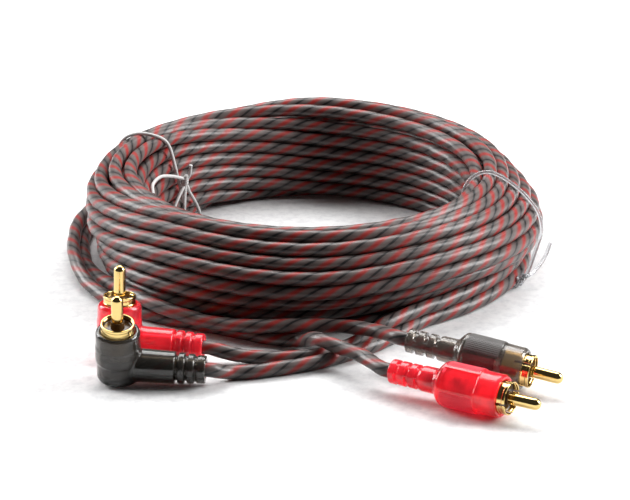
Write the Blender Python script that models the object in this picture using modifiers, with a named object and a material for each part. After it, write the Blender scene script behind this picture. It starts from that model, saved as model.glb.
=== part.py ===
"""Two-channel RCA audio lead, wound into a flat coil with its four plugs lying at the front.

Two round leads run side by side from two straight plugs, once round the left of the coil, through
thirteen turns each, and out again to two right-angle plugs. Two ties hold the coil. All sizes below
are in millimetres and become metres where a mesh is made. The coil lies on z = 0, X points to the
right, Y points away from the plugs, and the finished model is centred over its own footprint.
"""

import math

import bmesh
import bpy
from mathutils import Matrix, Vector

MM = 0.001
GAP = 0.3
MERGE_DISTANCE = 0.00001

# Leads
CABLE_DIAMETER = 3.9
CABLE_RADIUS = CABLE_DIAMETER / 2
CABLE_STEP = 6.5

# Coil of both leads, as the outline of its bundle
COIL_INNER_RADIUS = 48.5
COIL_FOOT_RADIUS = 59.8
COIL_OUTER_RADIUS = 68.4
COIL_HEIGHT = 29.4
COIL_WIDEST_HEIGHT = 13.6
COIL_UNDERCUT = CABLE_DIAMETER + 0.45
COIL_CROWN_RADIUS = 54.0
COIL_SHOULDER_POWER = 1.3
COIL_EDGE = 3.2
COIL_STEPS = 64

# Ties round the coil
WIRE_TIE_DIAMETER = 1.05
CLEAR_TIE_DIAMETER = 1.1
TIE_STEP = 3.2
TIE_CHANNEL_WIDTH = 3.2
TIE_CHANNEL_DEPTH = 2.0
WIRE_TIE_AZIMUTH = 146.0
CLEAR_TIE_AZIMUTH = -13.0

# Contacts, the same in every plug. Heights are measured from the boot's front face.
PIN_DIAMETER = 3.2
PIN_TAIL_DIAMETER = 1.8
PIN_REACH = 8.4
PIN_TAIL_START = -10.2
PIN_TAIL_END = -5.2
SLEEVE_DIAMETER = 9.0
SLEEVE_WALL = 0.45
SLEEVE_REACH = 2.3
SLEEVE_START = -5.5
SLEEVE_FLOOR = 0.5
SLEEVE_SLOT_WIDTH = 0.7
SLEEVE_SLOT_DEPTH = 4.6
INSULATOR_RECESS = 0.5
COLLAR_LENGTH = 1.5
COLLAR_BORE_DIAMETER = 4.4

# Boots
BOOT_DIAMETER = 12.0
BOOT_CHAMFER = 0.65
ROUND_STEPS = 26
SMALL_STEPS = 20

# Right-angle plug, built with its pin along +Z and its arm along +X
ANGLE_HEIGHT = 15.2
ANGLE_FLOOR = 2.0
ANGLE_BELT_LOW = 6.0
ANGLE_BELT_HIGH = 10.8
ANGLE_BELT_RISE = 0.15
ARM_AXIS_HEIGHT = 4.35
ARM_ROOT_DIAMETER = 8.5
ARM_END_DIAMETER = 8.0
ARM_SMOOTH_LENGTH = 14.4
ARM_RING_DIAMETERS = (7.4, 6.9, 6.4)
ARM_RING_WIDTH = 1.85
ARM_LAST_RING_WIDTH = 2.4
ARM_GROOVE_WIDTH = 0.7
ARM_CORE_DIAMETER = 5.6

# Straight plug, built with its pin along +Z from the end of its strain relief
STRAIGHT_LENGTH = 33.2
STRAIGHT_CAVITY_START = 15.9
RELIEF_DIAMETER = 6.6
RELIEF_SLOTS = 3
RELIEF_SLOT_START = 2.6
RELIEF_SLOT_PITCH = 3.05
RELIEF_SLOT_WIDTH = 0.75
RELIEF_SLOT_FLOOR = 2.6
NECK_START = 9.8
NECK_DIAMETER = 6.9
SHOULDER_START = 14.2
SHOULDER_END = 16.2
FLAT_LENGTH = 10.3
FLAT_DISTANCE = 5.4
FRONT_RING_START = 27.2
FRONT_RING_STEP = 0.25

# Where each plug lies: its reference point and its attitude in degrees
BLACK_ANGLE_PLACE = (-52.0, -94.9, 1.35)
BLACK_ANGLE_TURN = {"yaw": -5.0, "lean": 12.0, "roll": 1.2}
RED_ANGLE_PLACE = (-53.0, -78.8, 0.65)
RED_ANGLE_TURN = {"yaw": -10.0, "lean": -5.0, "roll": 1.5}
GREY_STRAIGHT_PLACE = (25.7, -88.9, 9.55)
GREY_STRAIGHT_TURN = {"yaw": -22.0, "pitch": 5.9, "roll": 0.0}
RED_STRAIGHT_PLACE = (21.1, -101.8, 6.02)
RED_STRAIGHT_TURN = {"yaw": -31.0, "pitch": 0.0, "roll": 50.0}

# Routes of the free leads, as points chosen along each: x, y and the lift of its underside
GREY_STRAIGHT_ROUTE = (
    (18.0, -78.4, 5.8),
    (10.3, -71.9, 4.45),
    (2.1, -70.1, 4.1),
    (-4.2, -70.5, 4.3),
    (-11.2, -70.6, 4.15),
    (-16.0, -69.8, 3.8),
    (-21.5, -67.6, 3.2),
    (-27.2, -64.8, 2.7),
    (-32.9, -62.0, 2.9),
    (-38.2, -59.2, 3.6),
    (-43.0, -55.8, 4.05),
    (-47.8, -50.6, 4.2),
    (-53.3, -41.8, 3.4),
    (-58.4, -31.7, 1.6),
    (-63.2, -22.0, 0.2),
    (-67.3, -11.4, 0.0),
    (-69.3, 2.0, 0.0),
    (-69.9, 9.2, 0.0),
    (-69.4, 16.4, 0.0),
    (-67.9, 24.4, 0.0),
    (-64.3, 32.6, 0.0),
    (-57.8, 40.2, 0.0),
    (-49.7, 46.2, 0.0),
    (-42.1, 50.2, 0.0),
    (-36.0, 52.9, 0.0),
)
RED_STRAIGHT_ROUTE = (
    (14.2, -92.8, 4.05),
    (10.1, -88.2, 4.1),
    (6.9, -85.4, 4.1),
    (4.2, -83.2, 4.4),
    (2.0, -80.8, 4.4),
    (-0.1, -77.4, 3.2),
    (-2.1, -74.2, 1.3),
    (-6.2, -71.2, 0.3),
    (-10.4, -69.8, 0.05),
    (-16.0, -67.1, 0.0),
    (-21.6, -64.0, 0.0),
    (-27.4, -61.1, 0.0),
    (-33.1, -58.2, 0.0),
    (-40.2, -55.0, 0.0),
    (-47.8, -50.6, 0.0),
    (-54.5, -44.4, 0.0),
    (-61.0, -36.2, 0.15),
    (-66.1, -27.4, 0.9),
    (-69.1, -19.6, 2.5),
    (-70.6, -13.0, 3.4),
    (-71.6, -5.3, 3.7),
    (-71.8, 1.3, 3.8),
    (-71.9, 10.1, 3.9),
    (-70.8, 18.2, 4.0),
    (-67.9, 27.3, 4.1),
    (-62.7, 36.2, 4.1),
    (-55.9, 44.0, 4.1),
    (-48.4, 50.3, 4.1),
    (-41.2, 55.2, 4.1),
)
BLACK_ANGLE_ROUTE = (
    (-22.2, -94.0, 0.3),
    (-15.5, -92.6, 0.0),
    (-10.1, -90.9, 0.0),
    (-3.4, -88.4, 0.0),
    (3.4, -85.2, 0.0),
    (10.2, -80.2, 0.0),
    (17.2, -74.2, 0.0),
    (20.8, -70.2, 0.0),
    (24.4, -65.5, 0.0),
    (28.0, -60.6, 0.0),
    (31.7, -56.2, 0.0),
    (35.2, -52.4, 0.0),
)
RED_ANGLE_ROUTE = (
    (-21.2, -83.0, 0.9),
    (-15.7, -83.0, 0.1),
    (-10.2, -83.3, 0.0),
    (-6.1, -83.1, 0.0),
    (-2.1, -82.4, 0.0),
    (3.4, -80.0, 0.0),
    (10.3, -74.6, 0.2),
    (14.0, -71.6, 0.9),
    (17.3, -69.0, 2.1),
    (20.6, -66.7, 3.4),
    (22.4, -65.5, 3.8),
)

# Routes of the ties, as radius from the coil's centre, degrees from the tie's azimuth and height
WIRE_TIE_ROUTE = (
    (43.5, 6.0, 21.5),
    (44.0, 4.0, 19.5),
    (46.3, 1.6, 17.0),
    (47.4, 0.8, 13.5),
    (47.4, 1.2, 8.0),
    (47.0, 1.0, 3.2),
    (48.8, 0.4, 0.95),
    (54.0, 0.0, 0.85),
    (59.6, 0.0, 0.9),
    (64.0, 0.0, 3.0),
    (67.2, 0.0, 7.0),
    (69.4, 0.0, 12.4),
    (68.6, 0.0, 17.6),
    (66.2, 0.0, 22.6),
    (61.6, 0.0, 27.0),
    (57.4, 0.0, 29.8),
    (53.0, 0.0, 30.3),
    (48.6, 0.0, 27.8),
    (47.0, -0.8, 23.0),
    (46.2, -1.0, 17.6),
    (45.4, 0.6, 14.6),
    (44.0, -2.0, 9.0),
    (43.4, -3.2, 3.6),
)
CLEAR_TIE_ROUTE = (
    (70.6, 7.0, 5.2),
    (69.6, -1.0, 4.6),
    (68.4, -5.0, 4.6),
    (68.6, -3.6, 7.6),
    (69.6, -1.2, 11.6),
    (69.3, 0.0, 15.8),
    (67.0, 0.0, 21.4),
    (62.2, 0.0, 26.9),
    (57.6, 0.0, 30.2),
    (52.0, 0.0, 30.7),
    (47.4, 0.0, 28.2),
    (45.8, 0.0, 22.0),
    (46.2, 0.0, 12.0),
    (46.8, 0.0, 3.4),
    (48.9, 0.0, 1.0),
    (55.0, 0.0, 0.9),
    (60.5, 0.0, 0.9),
    (65.5, -2.0, 1.2),
    (68.2, -4.4, 2.6),
)

SMOKE = (0.10, 0.095, 0.095, 1.0)
RED = (0.72, 0.03, 0.045, 1.0)
GOLD = (0.86, 0.62, 0.22, 1.0)
BROWN = (0.16, 0.085, 0.03, 1.0)
STEEL = (0.55, 0.55, 0.53, 1.0)
NATURAL = (0.72, 0.70, 0.64, 1.0)
JACKET = (0.22, 0.20, 0.19, 1.0)
WHITE = (0.82, 0.82, 0.80, 1.0)
CLEAR = (0.78, 0.80, 0.82, 1.0)


def clear_scene():
    for scene_object in list(bpy.data.objects):
        bpy.data.objects.remove(scene_object, do_unlink=True)


def new_collection(name):
    collection = bpy.data.collections.new(name)
    bpy.context.scene.collection.children.link(collection)
    return collection


def new_material(name, colour, roughness, metallic=0.0, alpha=1.0):
    material = bpy.data.materials.new(name)
    material.use_nodes = True
    shader = material.node_tree.nodes["Principled BSDF"]
    shader.inputs["Base Color"].default_value = colour
    shader.inputs["Roughness"].default_value = roughness
    shader.inputs["Metallic"].default_value = metallic
    shader.inputs["Alpha"].default_value = alpha
    material.diffuse_color = colour
    return material


def new_frame(name, matrix, parent):
    frame = bpy.data.objects.new(name, None)
    frame.empty_display_size = 5 * MM
    bpy.context.scene.collection.objects.link(frame)
    frame.parent = parent
    frame.matrix_local = matrix
    return frame


def add_object(name, data, collection, parent, matrix=None):
    added = bpy.data.objects.new(name, data)
    collection.objects.link(added)
    added.parent = parent
    if matrix is not None:
        added.matrix_local = matrix
    return added


def turned_mesh(name, profile, closed):
    """A profile of (radius, height) points, down the outer side from the top, for a Screw modifier."""
    mesh = bpy.data.meshes.new(name)
    vertices = [(radius * MM, 0.0, height * MM) for radius, height in profile]
    edges = [(index, index + 1) for index in range(len(profile) - 1)]
    if closed:
        edges.append((len(profile) - 1, 0))
    mesh.from_pydata(vertices, edges, [])
    return mesh


def add_turned(name, profile, steps, collection, parent, closed=False, matrix=None):
    turned = add_object(name, turned_mesh(name, profile, closed), collection, parent, matrix)
    screw = turned.modifiers.new("Turn", "SCREW")
    screw.axis = "Z"
    screw.angle = math.tau
    screw.steps = steps
    screw.render_steps = steps
    screw.use_merge_vertices = True
    screw.merge_threshold = MERGE_DISTANCE
    screw.use_smooth_shade = True
    return turned


def tube_profile(outer_radius, inner_radius, low, high):
    return [(outer_radius, high), (outer_radius, low), (inner_radius, low), (inner_radius, high)]


def cylinder_profile(radius, low, high):
    return [(0.0, high), (radius, high), (radius, low), (0.0, low)]


def box_mesh(name, boxes):
    """Boxes given by their centres and sizes, as one mesh."""
    mesh = bpy.data.meshes.new(name)
    shape = bmesh.new()
    for centre, size in boxes:
        place = Matrix.Translation(Vector(centre) * MM)
        stretch = Matrix.Diagonal(Vector((*size, 1.0 / MM)) * MM)
        bmesh.ops.create_cube(shape, size=1.0, matrix=place @ stretch)
    shape.to_mesh(mesh)
    shape.free()
    return mesh


def as_tool(tool):
    tool.hide_render = True
    tool.display_type = "WIRE"
    return tool


def combine(target, tool, operation):
    boolean = target.modifiers.new(operation.title(), "BOOLEAN")
    boolean.operation = operation
    boolean.solver = "EXACT"
    boolean.object = as_tool(tool)


def smooth_route(points, spacing):
    """Points at an even spacing along a smooth curve through the given points."""
    knots = [Vector(point) for point in points]
    ends = [2 * knots[0] - knots[1]] + knots + [2 * knots[-1] - knots[-2]]
    fine = []
    for first, start, end, last in zip(ends, ends[1:], ends[2:], ends[3:]):
        for step in range(12):
            t = step / 12
            fine.append(0.5 * (
                2 * start
                + (end - first) * t
                + (2 * first - 5 * start + 4 * end - last) * t ** 2
                + (3 * start - first - 3 * end + last) * t ** 3
            ))
    fine.append(knots[-1])
    lengths = [0.0]
    for start, end in zip(fine, fine[1:]):
        lengths.append(lengths[-1] + (end - start).length)
    count = max(2, round(lengths[-1] / spacing))
    route = []
    index = 0
    for step in range(count + 1):
        target = lengths[-1] * step / count
        while index < len(fine) - 2 and lengths[index + 1] < target:
            index += 1
        span = lengths[index + 1] - lengths[index]
        route.append(fine[index].lerp(fine[index + 1], (target - lengths[index]) / span))
    return route


def add_tube(name, points, diameter, spacing, collection, parent):
    curve = bpy.data.curves.new(name, "CURVE")
    curve.dimensions = "3D"
    curve.bevel_depth = diameter / 2 * MM
    curve.bevel_resolution = 2
    curve.render_resolution_u = 0
    curve.use_fill_caps = True
    route = smooth_route(points, spacing)
    spline = curve.splines.new("POLY")
    spline.points.add(len(route) - 1)
    for point, place in zip(spline.points, route):
        point.co = (*(place * MM), 1.0)
    return add_object(name, curve, collection, parent)


def pin_profile(front):
    """Solder tail, shank and round nose of the centre contact, from the nose down."""
    radius = PIN_DIAMETER / 2
    tip = front + SLEEVE_REACH + PIN_REACH
    nose = []
    for step in range(6):
        angle = math.radians(90 - 18 * step)
        nose.append((radius * math.cos(angle), tip - radius + radius * math.sin(angle)))
    nose[0] = (0.0, tip)
    tail_radius = PIN_TAIL_DIAMETER / 2
    shank_foot = front + PIN_TAIL_END
    tail_foot = front + PIN_TAIL_START
    return nose + [
        (radius, shank_foot),
        (tail_radius, shank_foot),
        (tail_radius, tail_foot),
        (0.0, tail_foot),
    ]


def sleeve_profile(front):
    """Thin cup round the pin: an open rim, a straight wall and a holed floor."""
    outer = SLEEVE_DIAMETER / 2
    inner = outer - SLEEVE_WALL
    rim = front + SLEEVE_REACH
    foot = front + SLEEVE_START
    lip = 0.15
    hole = PIN_DIAMETER / 2 + 2 * GAP
    return [
        (outer - lip, rim),
        (outer, rim - lip),
        (outer, foot),
        (hole, foot),
        (hole, foot + SLEEVE_FLOOR),
        (inner, foot + SLEEVE_FLOOR),
        (inner, rim),
    ]


def insulator_profile(front):
    """Brown disc that holds the pin in the middle of the sleeve."""
    outer = SLEEVE_DIAMETER / 2 - SLEEVE_WALL - GAP
    bore = PIN_DIAMETER / 2 + GAP
    high = front + SLEEVE_REACH - INSULATOR_RECESS
    low = front + SLEEVE_START + SLEEVE_FLOOR + GAP
    return tube_profile(outer, bore, low, high)


def collar_profile(front):
    """Ground ferrule behind the sleeve, which takes the shield."""
    high = front + SLEEVE_START - GAP
    return tube_profile(SLEEVE_DIAMETER / 2, COLLAR_BORE_DIAMETER / 2, high - COLLAR_LENGTH, high)


def mould_profile(front, floor):
    """Stiff block round the solder joints, between the cavity's floor and the collar."""
    bore = PIN_TAIL_DIAMETER / 2 + GAP
    high = front + SLEEVE_START - 2 * GAP - COLLAR_LENGTH
    outer = SLEEVE_DIAMETER / 2
    return [
        (outer - 0.5, high),
        (outer, high - 0.5),
        (outer, floor + GAP),
        (bore, floor + GAP),
        (bore, high),
    ]


def add_contacts(prefix, front, floor, frame, parts, cutters):
    """The pieces inside a boot. Front is its front face, floor the bottom of its cavity."""
    pin = add_turned(prefix + "_pin", pin_profile(front), SMALL_STEPS, parts, frame)
    sleeve = add_turned(
        prefix + "_sleeve", sleeve_profile(front), ROUND_STEPS, parts, frame, closed=True
    )
    slot_height = front + SLEEVE_REACH
    across = 2 * SLEEVE_DIAMETER
    slots = add_object(
        prefix + "_slot_cutter",
        box_mesh(prefix + "_slot_cutter", [
            ((0, 0, slot_height), (across, SLEEVE_SLOT_WIDTH, 2 * SLEEVE_SLOT_DEPTH)),
        ]),
        cutters, frame, Matrix.Rotation(math.radians(45), 4, "Z"),
    )
    cross_slots = add_object(
        prefix + "_cross_slot_cutter", slots.data, cutters, frame,
        Matrix.Rotation(math.radians(135), 4, "Z"),
    )
    combine(sleeve, slots, "DIFFERENCE")
    combine(sleeve, cross_slots, "DIFFERENCE")
    insulator = add_turned(
        prefix + "_insulator", insulator_profile(front), SMALL_STEPS, parts, frame, closed=True
    )
    collar = add_turned(
        prefix + "_collar", collar_profile(front), SMALL_STEPS, parts, frame, closed=True
    )
    mould = add_turned(
        prefix + "_inner_mould", mould_profile(front, floor), SMALL_STEPS, parts, frame, closed=True
    )
    return {"pin": pin, "sleeve": sleeve, "insulator": insulator, "collar": collar, "mould": mould}


def cavity_radius():
    return SLEEVE_DIAMETER / 2 + GAP


def cable_bore_radius():
    return CABLE_RADIUS + GAP


def angle_arm_profile():
    """Arm of the right-angle boot along its own axis: a smooth root and ribbed strain relief."""
    core = ARM_CORE_DIAMETER / 2
    profile = [(0.0, arm_length()), (ARM_RING_DIAMETERS[-1] / 2, arm_length())]
    low = arm_length() - ARM_LAST_RING_WIDTH
    profile.append((ARM_RING_DIAMETERS[-1] / 2, low))
    for diameter in reversed(ARM_RING_DIAMETERS[:-1]):
        profile.append((core, low))
        low -= ARM_GROOVE_WIDTH
        profile.append((core, low))
        profile.append((diameter / 2, low))
        low -= ARM_RING_WIDTH
        profile.append((diameter / 2, low))
    profile.append((core, low))
    profile.append((core, ARM_SMOOTH_LENGTH))
    profile.append((ARM_END_DIAMETER / 2 - 0.3, ARM_SMOOTH_LENGTH))
    profile.append((ARM_END_DIAMETER / 2, ARM_SMOOTH_LENGTH - 0.5))
    profile.append((ARM_ROOT_DIAMETER / 2, 0.0))
    profile.append((0.0, 0.0))
    return profile


def arm_length():
    rings = (len(ARM_RING_DIAMETERS) - 1) * ARM_RING_WIDTH + ARM_LAST_RING_WIDTH
    return ARM_SMOOTH_LENGTH + len(ARM_RING_DIAMETERS) * ARM_GROOVE_WIDTH + rings


def angle_body_profile():
    """Upright part of the right-angle boot, with its belt and its chamfered front."""
    radius = BOOT_DIAMETER / 2
    return [
        (0.0, ANGLE_HEIGHT),
        (radius - BOOT_CHAMFER, ANGLE_HEIGHT),
        (radius - 0.3, ANGLE_HEIGHT - 0.35),
        (radius, ANGLE_HEIGHT - 1.1),
        (radius, ANGLE_BELT_HIGH + 0.2),
        (radius + ANGLE_BELT_RISE, ANGLE_BELT_HIGH - 0.2),
        (radius + ANGLE_BELT_RISE, ANGLE_BELT_LOW + 0.2),
        (radius - ANGLE_BELT_RISE, ANGLE_BELT_LOW - 0.2),
        (radius - ANGLE_BELT_RISE, 0.6),
        (radius - 0.7, 0.0),
        (0.0, 0.0),
    ]


def arm_matrix():
    lift = Matrix.Translation(Vector((0.0, 0.0, ARM_AXIS_HEIGHT)) * MM)
    return lift @ Matrix.Rotation(math.radians(90), 4, "Y")


def add_angle_boot(prefix, frame, parts, cutters):
    boot = add_turned(prefix + "_boot", angle_body_profile(), ROUND_STEPS, parts, frame)
    arm = add_turned(
        prefix + "_arm_form", angle_arm_profile(), ROUND_STEPS, cutters, frame, matrix=arm_matrix()
    )
    cavity = add_turned(
        prefix + "_cavity_cutter",
        cylinder_profile(cavity_radius(), ANGLE_FLOOR, ANGLE_HEIGHT + 2),
        ROUND_STEPS, cutters, frame,
    )
    bore = add_turned(
        prefix + "_bore_cutter", cylinder_profile(cable_bore_radius(), 1.0, arm_length() + 2),
        SMALL_STEPS, cutters, frame, matrix=arm_matrix(),
    )
    combine(boot, arm, "UNION")
    combine(boot, cavity, "DIFFERENCE")
    combine(boot, bore, "DIFFERENCE")
    return boot


def straight_body_profile():
    """Hollow straight boot: down its outside from the front face, then back up its bore."""
    radius = BOOT_DIAMETER / 2
    relief = RELIEF_DIAMETER / 2
    return [
        (radius - BOOT_CHAMFER, STRAIGHT_LENGTH),
        (radius - FRONT_RING_STEP, STRAIGHT_LENGTH - 0.8),
        (radius - FRONT_RING_STEP, FRONT_RING_START + 0.2),
        (radius, FRONT_RING_START - 0.2),
        (radius, SHOULDER_END),
        (radius - 0.5, SHOULDER_END - 0.6),
        (NECK_DIAMETER / 2, SHOULDER_START),
        (NECK_DIAMETER / 2, NECK_START),
        (relief, NECK_START - 0.3),
        (relief, 0.3),
        (relief - 0.3, 0.0),
        (cable_bore_radius(), 0.0),
        (cable_bore_radius(), STRAIGHT_CAVITY_START),
        (cavity_radius(), STRAIGHT_CAVITY_START),
        (cavity_radius(), STRAIGHT_LENGTH),
    ]


def straight_slot_boxes():
    """Slots across the strain relief, from above and from below."""
    depth = RELIEF_DIAMETER
    boxes = []
    for index in range(RELIEF_SLOTS):
        height = RELIEF_SLOT_START + index * RELIEF_SLOT_PITCH
        for side in (-1, 1):
            centre = (side * (RELIEF_SLOT_FLOOR + depth / 2), 0.0, height)
            boxes.append((centre, (depth, 2 * RELIEF_DIAMETER, RELIEF_SLOT_WIDTH)))
    return boxes


def straight_flat_boxes():
    """Flat panels on both sides of the straight boot's grip."""
    depth = BOOT_DIAMETER
    boxes = []
    for side in (-1, 1):
        centre = (0.0, side * (FLAT_DISTANCE + depth / 2), FRONT_RING_START - FLAT_LENGTH / 2)
        boxes.append((centre, (2 * BOOT_DIAMETER, depth, FLAT_LENGTH)))
    return boxes


def add_straight_boot(prefix, frame, parts, cutters):
    boot = add_turned(
        prefix + "_boot", straight_body_profile(), ROUND_STEPS, parts, frame, closed=True
    )
    slots = add_object(
        prefix + "_relief_cutter", box_mesh(prefix + "_relief_cutter", straight_slot_boxes()),
        cutters, frame,
    )
    flats = add_object(
        prefix + "_flat_cutter", box_mesh(prefix + "_flat_cutter", straight_flat_boxes()),
        cutters, frame,
    )
    combine(boot, slots, "DIFFERENCE")
    combine(boot, flats, "DIFFERENCE")
    return boot


def angle_frame_matrix(place, turn):
    """Pin upright, then turned about it, leaned towards the front and rolled sideways."""
    yaw = Matrix.Rotation(math.radians(turn["yaw"]), 4, "Z")
    lean = Matrix.Rotation(math.radians(turn["lean"]), 4, "X")
    roll = Matrix.Rotation(math.radians(turn["roll"]), 4, "Y")
    return Matrix.Translation(Vector(place) * MM) @ roll @ lean @ yaw


def straight_frame_matrix(place, turn):
    """Pin level, then rolled about it, dipped by the pitch and turned by the yaw."""
    roll = Matrix.Rotation(math.radians(turn["roll"]), 4, "Z")
    pitch = Matrix.Rotation(math.radians(90 + turn["pitch"]), 4, "Y")
    yaw = Matrix.Rotation(math.radians(turn["yaw"]), 4, "Z")
    return Matrix.Translation(Vector(place) * MM) @ yaw @ pitch @ roll


def on_axis(matrix, distances):
    """Points in millimetres on a frame's Z axis."""
    return [tuple((matrix @ Vector((0.0, 0.0, distance * MM))) / MM) for distance in distances]


def lifted(route):
    return [(x, y, CABLE_RADIUS + lift) for x, y, lift in route]


def straight_lead_points(matrix, route):
    start = STRAIGHT_CAVITY_START - GAP / 2
    inside = on_axis(matrix, (start, start * 0.66, start * 0.33, 0.0, -3.0))
    return inside + lifted(route)


def angle_lead_points(matrix, route):
    start = cavity_radius() + GAP
    length = arm_length()
    spots = (start, start + 0.33 * (length - start), start + 0.66 * (length - start), length)
    inside = on_axis(matrix @ arm_matrix(), (*spots, length + 1.5))
    return inside + lifted(route)


def coil_profile():
    """Outline of the wound bundle: a flat foot, an undercut that leaves room for the free leads
    under its bulge, a round top and an upright inner wall."""
    drop = COIL_HEIGHT - COIL_WIDEST_HEIGHT
    bulge = COIL_OUTER_RADIUS - COIL_FOOT_RADIUS
    shoulder = COIL_OUTER_RADIUS - COIL_CROWN_RADIUS
    profile = [(COIL_CROWN_RADIUS, COIL_HEIGHT)]
    for step in range(6):
        angle = math.radians(75 - 15 * step)
        radius = COIL_CROWN_RADIUS + shoulder * math.cos(angle) ** COIL_SHOULDER_POWER
        profile.append((radius, COIL_WIDEST_HEIGHT + drop * math.sin(angle)))
    for share in (0.4, 0.75):
        height = COIL_WIDEST_HEIGHT - share * (COIL_WIDEST_HEIGHT - COIL_UNDERCUT)
        profile.append((COIL_OUTER_RADIUS - 0.55 * bulge * share ** 2, height))
    profile.append((COIL_FOOT_RADIUS + 0.38 * bulge, COIL_UNDERCUT))
    profile.append((COIL_FOOT_RADIUS, COIL_UNDERCUT))
    profile.append((COIL_FOOT_RADIUS, 0.0))
    profile.append((COIL_INNER_RADIUS + 0.4 * COIL_EDGE, 0.0))
    profile.append((COIL_INNER_RADIUS, 0.6 * COIL_EDGE))
    profile.append((COIL_INNER_RADIUS, COIL_HEIGHT - 1.6 * COIL_EDGE))
    profile.append((COIL_INNER_RADIUS + 0.25 * COIL_EDGE, COIL_HEIGHT - 0.6 * COIL_EDGE))
    profile.append((COIL_INNER_RADIUS + COIL_EDGE, COIL_HEIGHT - 0.15 * COIL_EDGE))
    return profile


def add_coil(frame, parts, cutters):
    coil = add_turned("cable_coil", coil_profile(), COIL_STEPS, parts, frame, closed=True)
    reach = COIL_OUTER_RADIUS - COIL_INNER_RADIUS + 12
    middle = (COIL_OUTER_RADIUS + COIL_INNER_RADIUS) / 2
    for azimuth in (WIRE_TIE_AZIMUTH, CLEAR_TIE_AZIMUTH):
        channel = add_object(
            "tie_channel_cutter",
            box_mesh("tie_channel_cutter", [
                ((middle, 0.0, 0.0), (reach, TIE_CHANNEL_WIDTH, 2 * TIE_CHANNEL_DEPTH)),
            ]),
            cutters, frame, Matrix.Rotation(math.radians(azimuth), 4, "Z"),
        )
        combine(coil, channel, "DIFFERENCE")
    return coil


def around_coil(route, azimuth):
    points = []
    for radius, offset, height in route:
        angle = math.radians(azimuth + offset)
        points.append((radius * math.cos(angle), radius * math.sin(angle), height))
    return points


def add_ties(frame, parts):
    wire = add_tube(
        "wire_tie", around_coil(WIRE_TIE_ROUTE, WIRE_TIE_AZIMUTH),
        WIRE_TIE_DIAMETER, TIE_STEP, parts, frame,
    )
    clear = add_tube(
        "clear_tie", around_coil(CLEAR_TIE_ROUTE, CLEAR_TIE_AZIMUTH),
        CLEAR_TIE_DIAMETER, TIE_STEP, parts, frame,
    )
    return wire, clear


def paint(painted, material):
    painted.data.materials.append(material)


def paint_plug(boot, contacts, boot_material, shared):
    paint(boot, boot_material)
    paint(contacts["pin"], shared["gold"])
    paint(contacts["sleeve"], shared["gold"])
    paint(contacts["insulator"], shared["brown"])
    paint(contacts["collar"], shared["steel"])
    paint(contacts["mould"], shared["natural"])


def centre_over_footprint(root, parts):
    """Moves the whole model so that its box stands on z = 0, centred on the origin."""
    bpy.context.view_layer.update()
    graph = bpy.context.evaluated_depsgraph_get()
    low = Vector((math.inf, math.inf, math.inf))
    high = -low
    for part in parts.objects:
        evaluated = part.evaluated_get(graph)
        mesh = evaluated.to_mesh()
        for vertex in mesh.vertices:
            place = evaluated.matrix_world @ vertex.co
            low = Vector(map(min, low, place))
            high = Vector(map(max, high, place))
        evaluated.to_mesh_clear()
    root.location = (-(low.x + high.x) / 2, -(low.y + high.y) / 2, -low.z)
    bpy.context.view_layer.update()


def build_model():
    clear_scene()
    parts = new_collection("rca_audio_cable")
    cutters = new_collection("cutters")
    root = new_frame("cable_root", Matrix.Identity(4), None)
    shared = {
        "gold": new_material("gold_plate", GOLD, 0.18, metallic=1.0),
        "brown": new_material("insulator_brown", BROWN, 0.35),
        "steel": new_material("ferrule_steel", STEEL, 0.3, metallic=1.0),
        "natural": new_material("inner_mould_natural", NATURAL, 0.5),
    }
    boots = {
        "smoke": new_material("boot_smoke", SMOKE, 0.3, alpha=0.9),
        "red": new_material("boot_red", RED, 0.3, alpha=0.9),
    }
    jacket = new_material("jacket_smoke", JACKET, 0.35)

    angle_plugs = (
        ("black_angle", BLACK_ANGLE_PLACE, BLACK_ANGLE_TURN, BLACK_ANGLE_ROUTE, "smoke"),
        ("red_angle", RED_ANGLE_PLACE, RED_ANGLE_TURN, RED_ANGLE_ROUTE, "red"),
    )
    for prefix, place, turn, route, colour in angle_plugs:
        matrix = angle_frame_matrix(place, turn)
        frame = new_frame(prefix + "_frame", matrix, root)
        boot = add_angle_boot(prefix, frame, parts, cutters)
        contacts = add_contacts(prefix, ANGLE_HEIGHT, ANGLE_FLOOR, frame, parts, cutters)
        paint_plug(boot, contacts, boots[colour], shared)
        points = angle_lead_points(matrix, route)
        lead = add_tube(prefix + "_lead", points, CABLE_DIAMETER, CABLE_STEP, parts, root)
        paint(lead, jacket)

    straight_plugs = (
        ("grey_straight", GREY_STRAIGHT_PLACE, GREY_STRAIGHT_TURN, GREY_STRAIGHT_ROUTE, "smoke"),
        ("red_straight", RED_STRAIGHT_PLACE, RED_STRAIGHT_TURN, RED_STRAIGHT_ROUTE, "red"),
    )
    for prefix, place, turn, route, colour in straight_plugs:
        matrix = straight_frame_matrix(place, turn)
        frame = new_frame(prefix + "_frame", matrix, root)
        boot = add_straight_boot(prefix, frame, parts, cutters)
        contacts = add_contacts(
            prefix, STRAIGHT_LENGTH, STRAIGHT_CAVITY_START, frame, parts, cutters
        )
        paint_plug(boot, contacts, boots[colour], shared)
        points = straight_lead_points(matrix, route)
        lead = add_tube(prefix + "_lead", points, CABLE_DIAMETER, CABLE_STEP, parts, root)
        paint(lead, jacket)

    coil = add_coil(root, parts, cutters)
    paint(coil, jacket)
    wire, clear = add_ties(root, parts)
    paint(wire, new_material("tie_white", WHITE, 0.4))
    paint(clear, new_material("tie_clear", CLEAR, 0.15, alpha=0.6))
    centre_over_footprint(root, parts)


build_model()
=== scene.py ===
"""Coiled stereo phono lead: every visible piece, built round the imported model.

Two striped leads of about five metres are wound side by side into one ring. Each runs from a straight
plug, once round the ring's left side, through twelve and a half turns and out to a right-angle plug.
Sizes in this file are millimetres measured from the middle of the ring on the floor, with X to the
right, Y away from the plugs and Z up, and place() turns them into the frame's metres.
"""

import math

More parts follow.
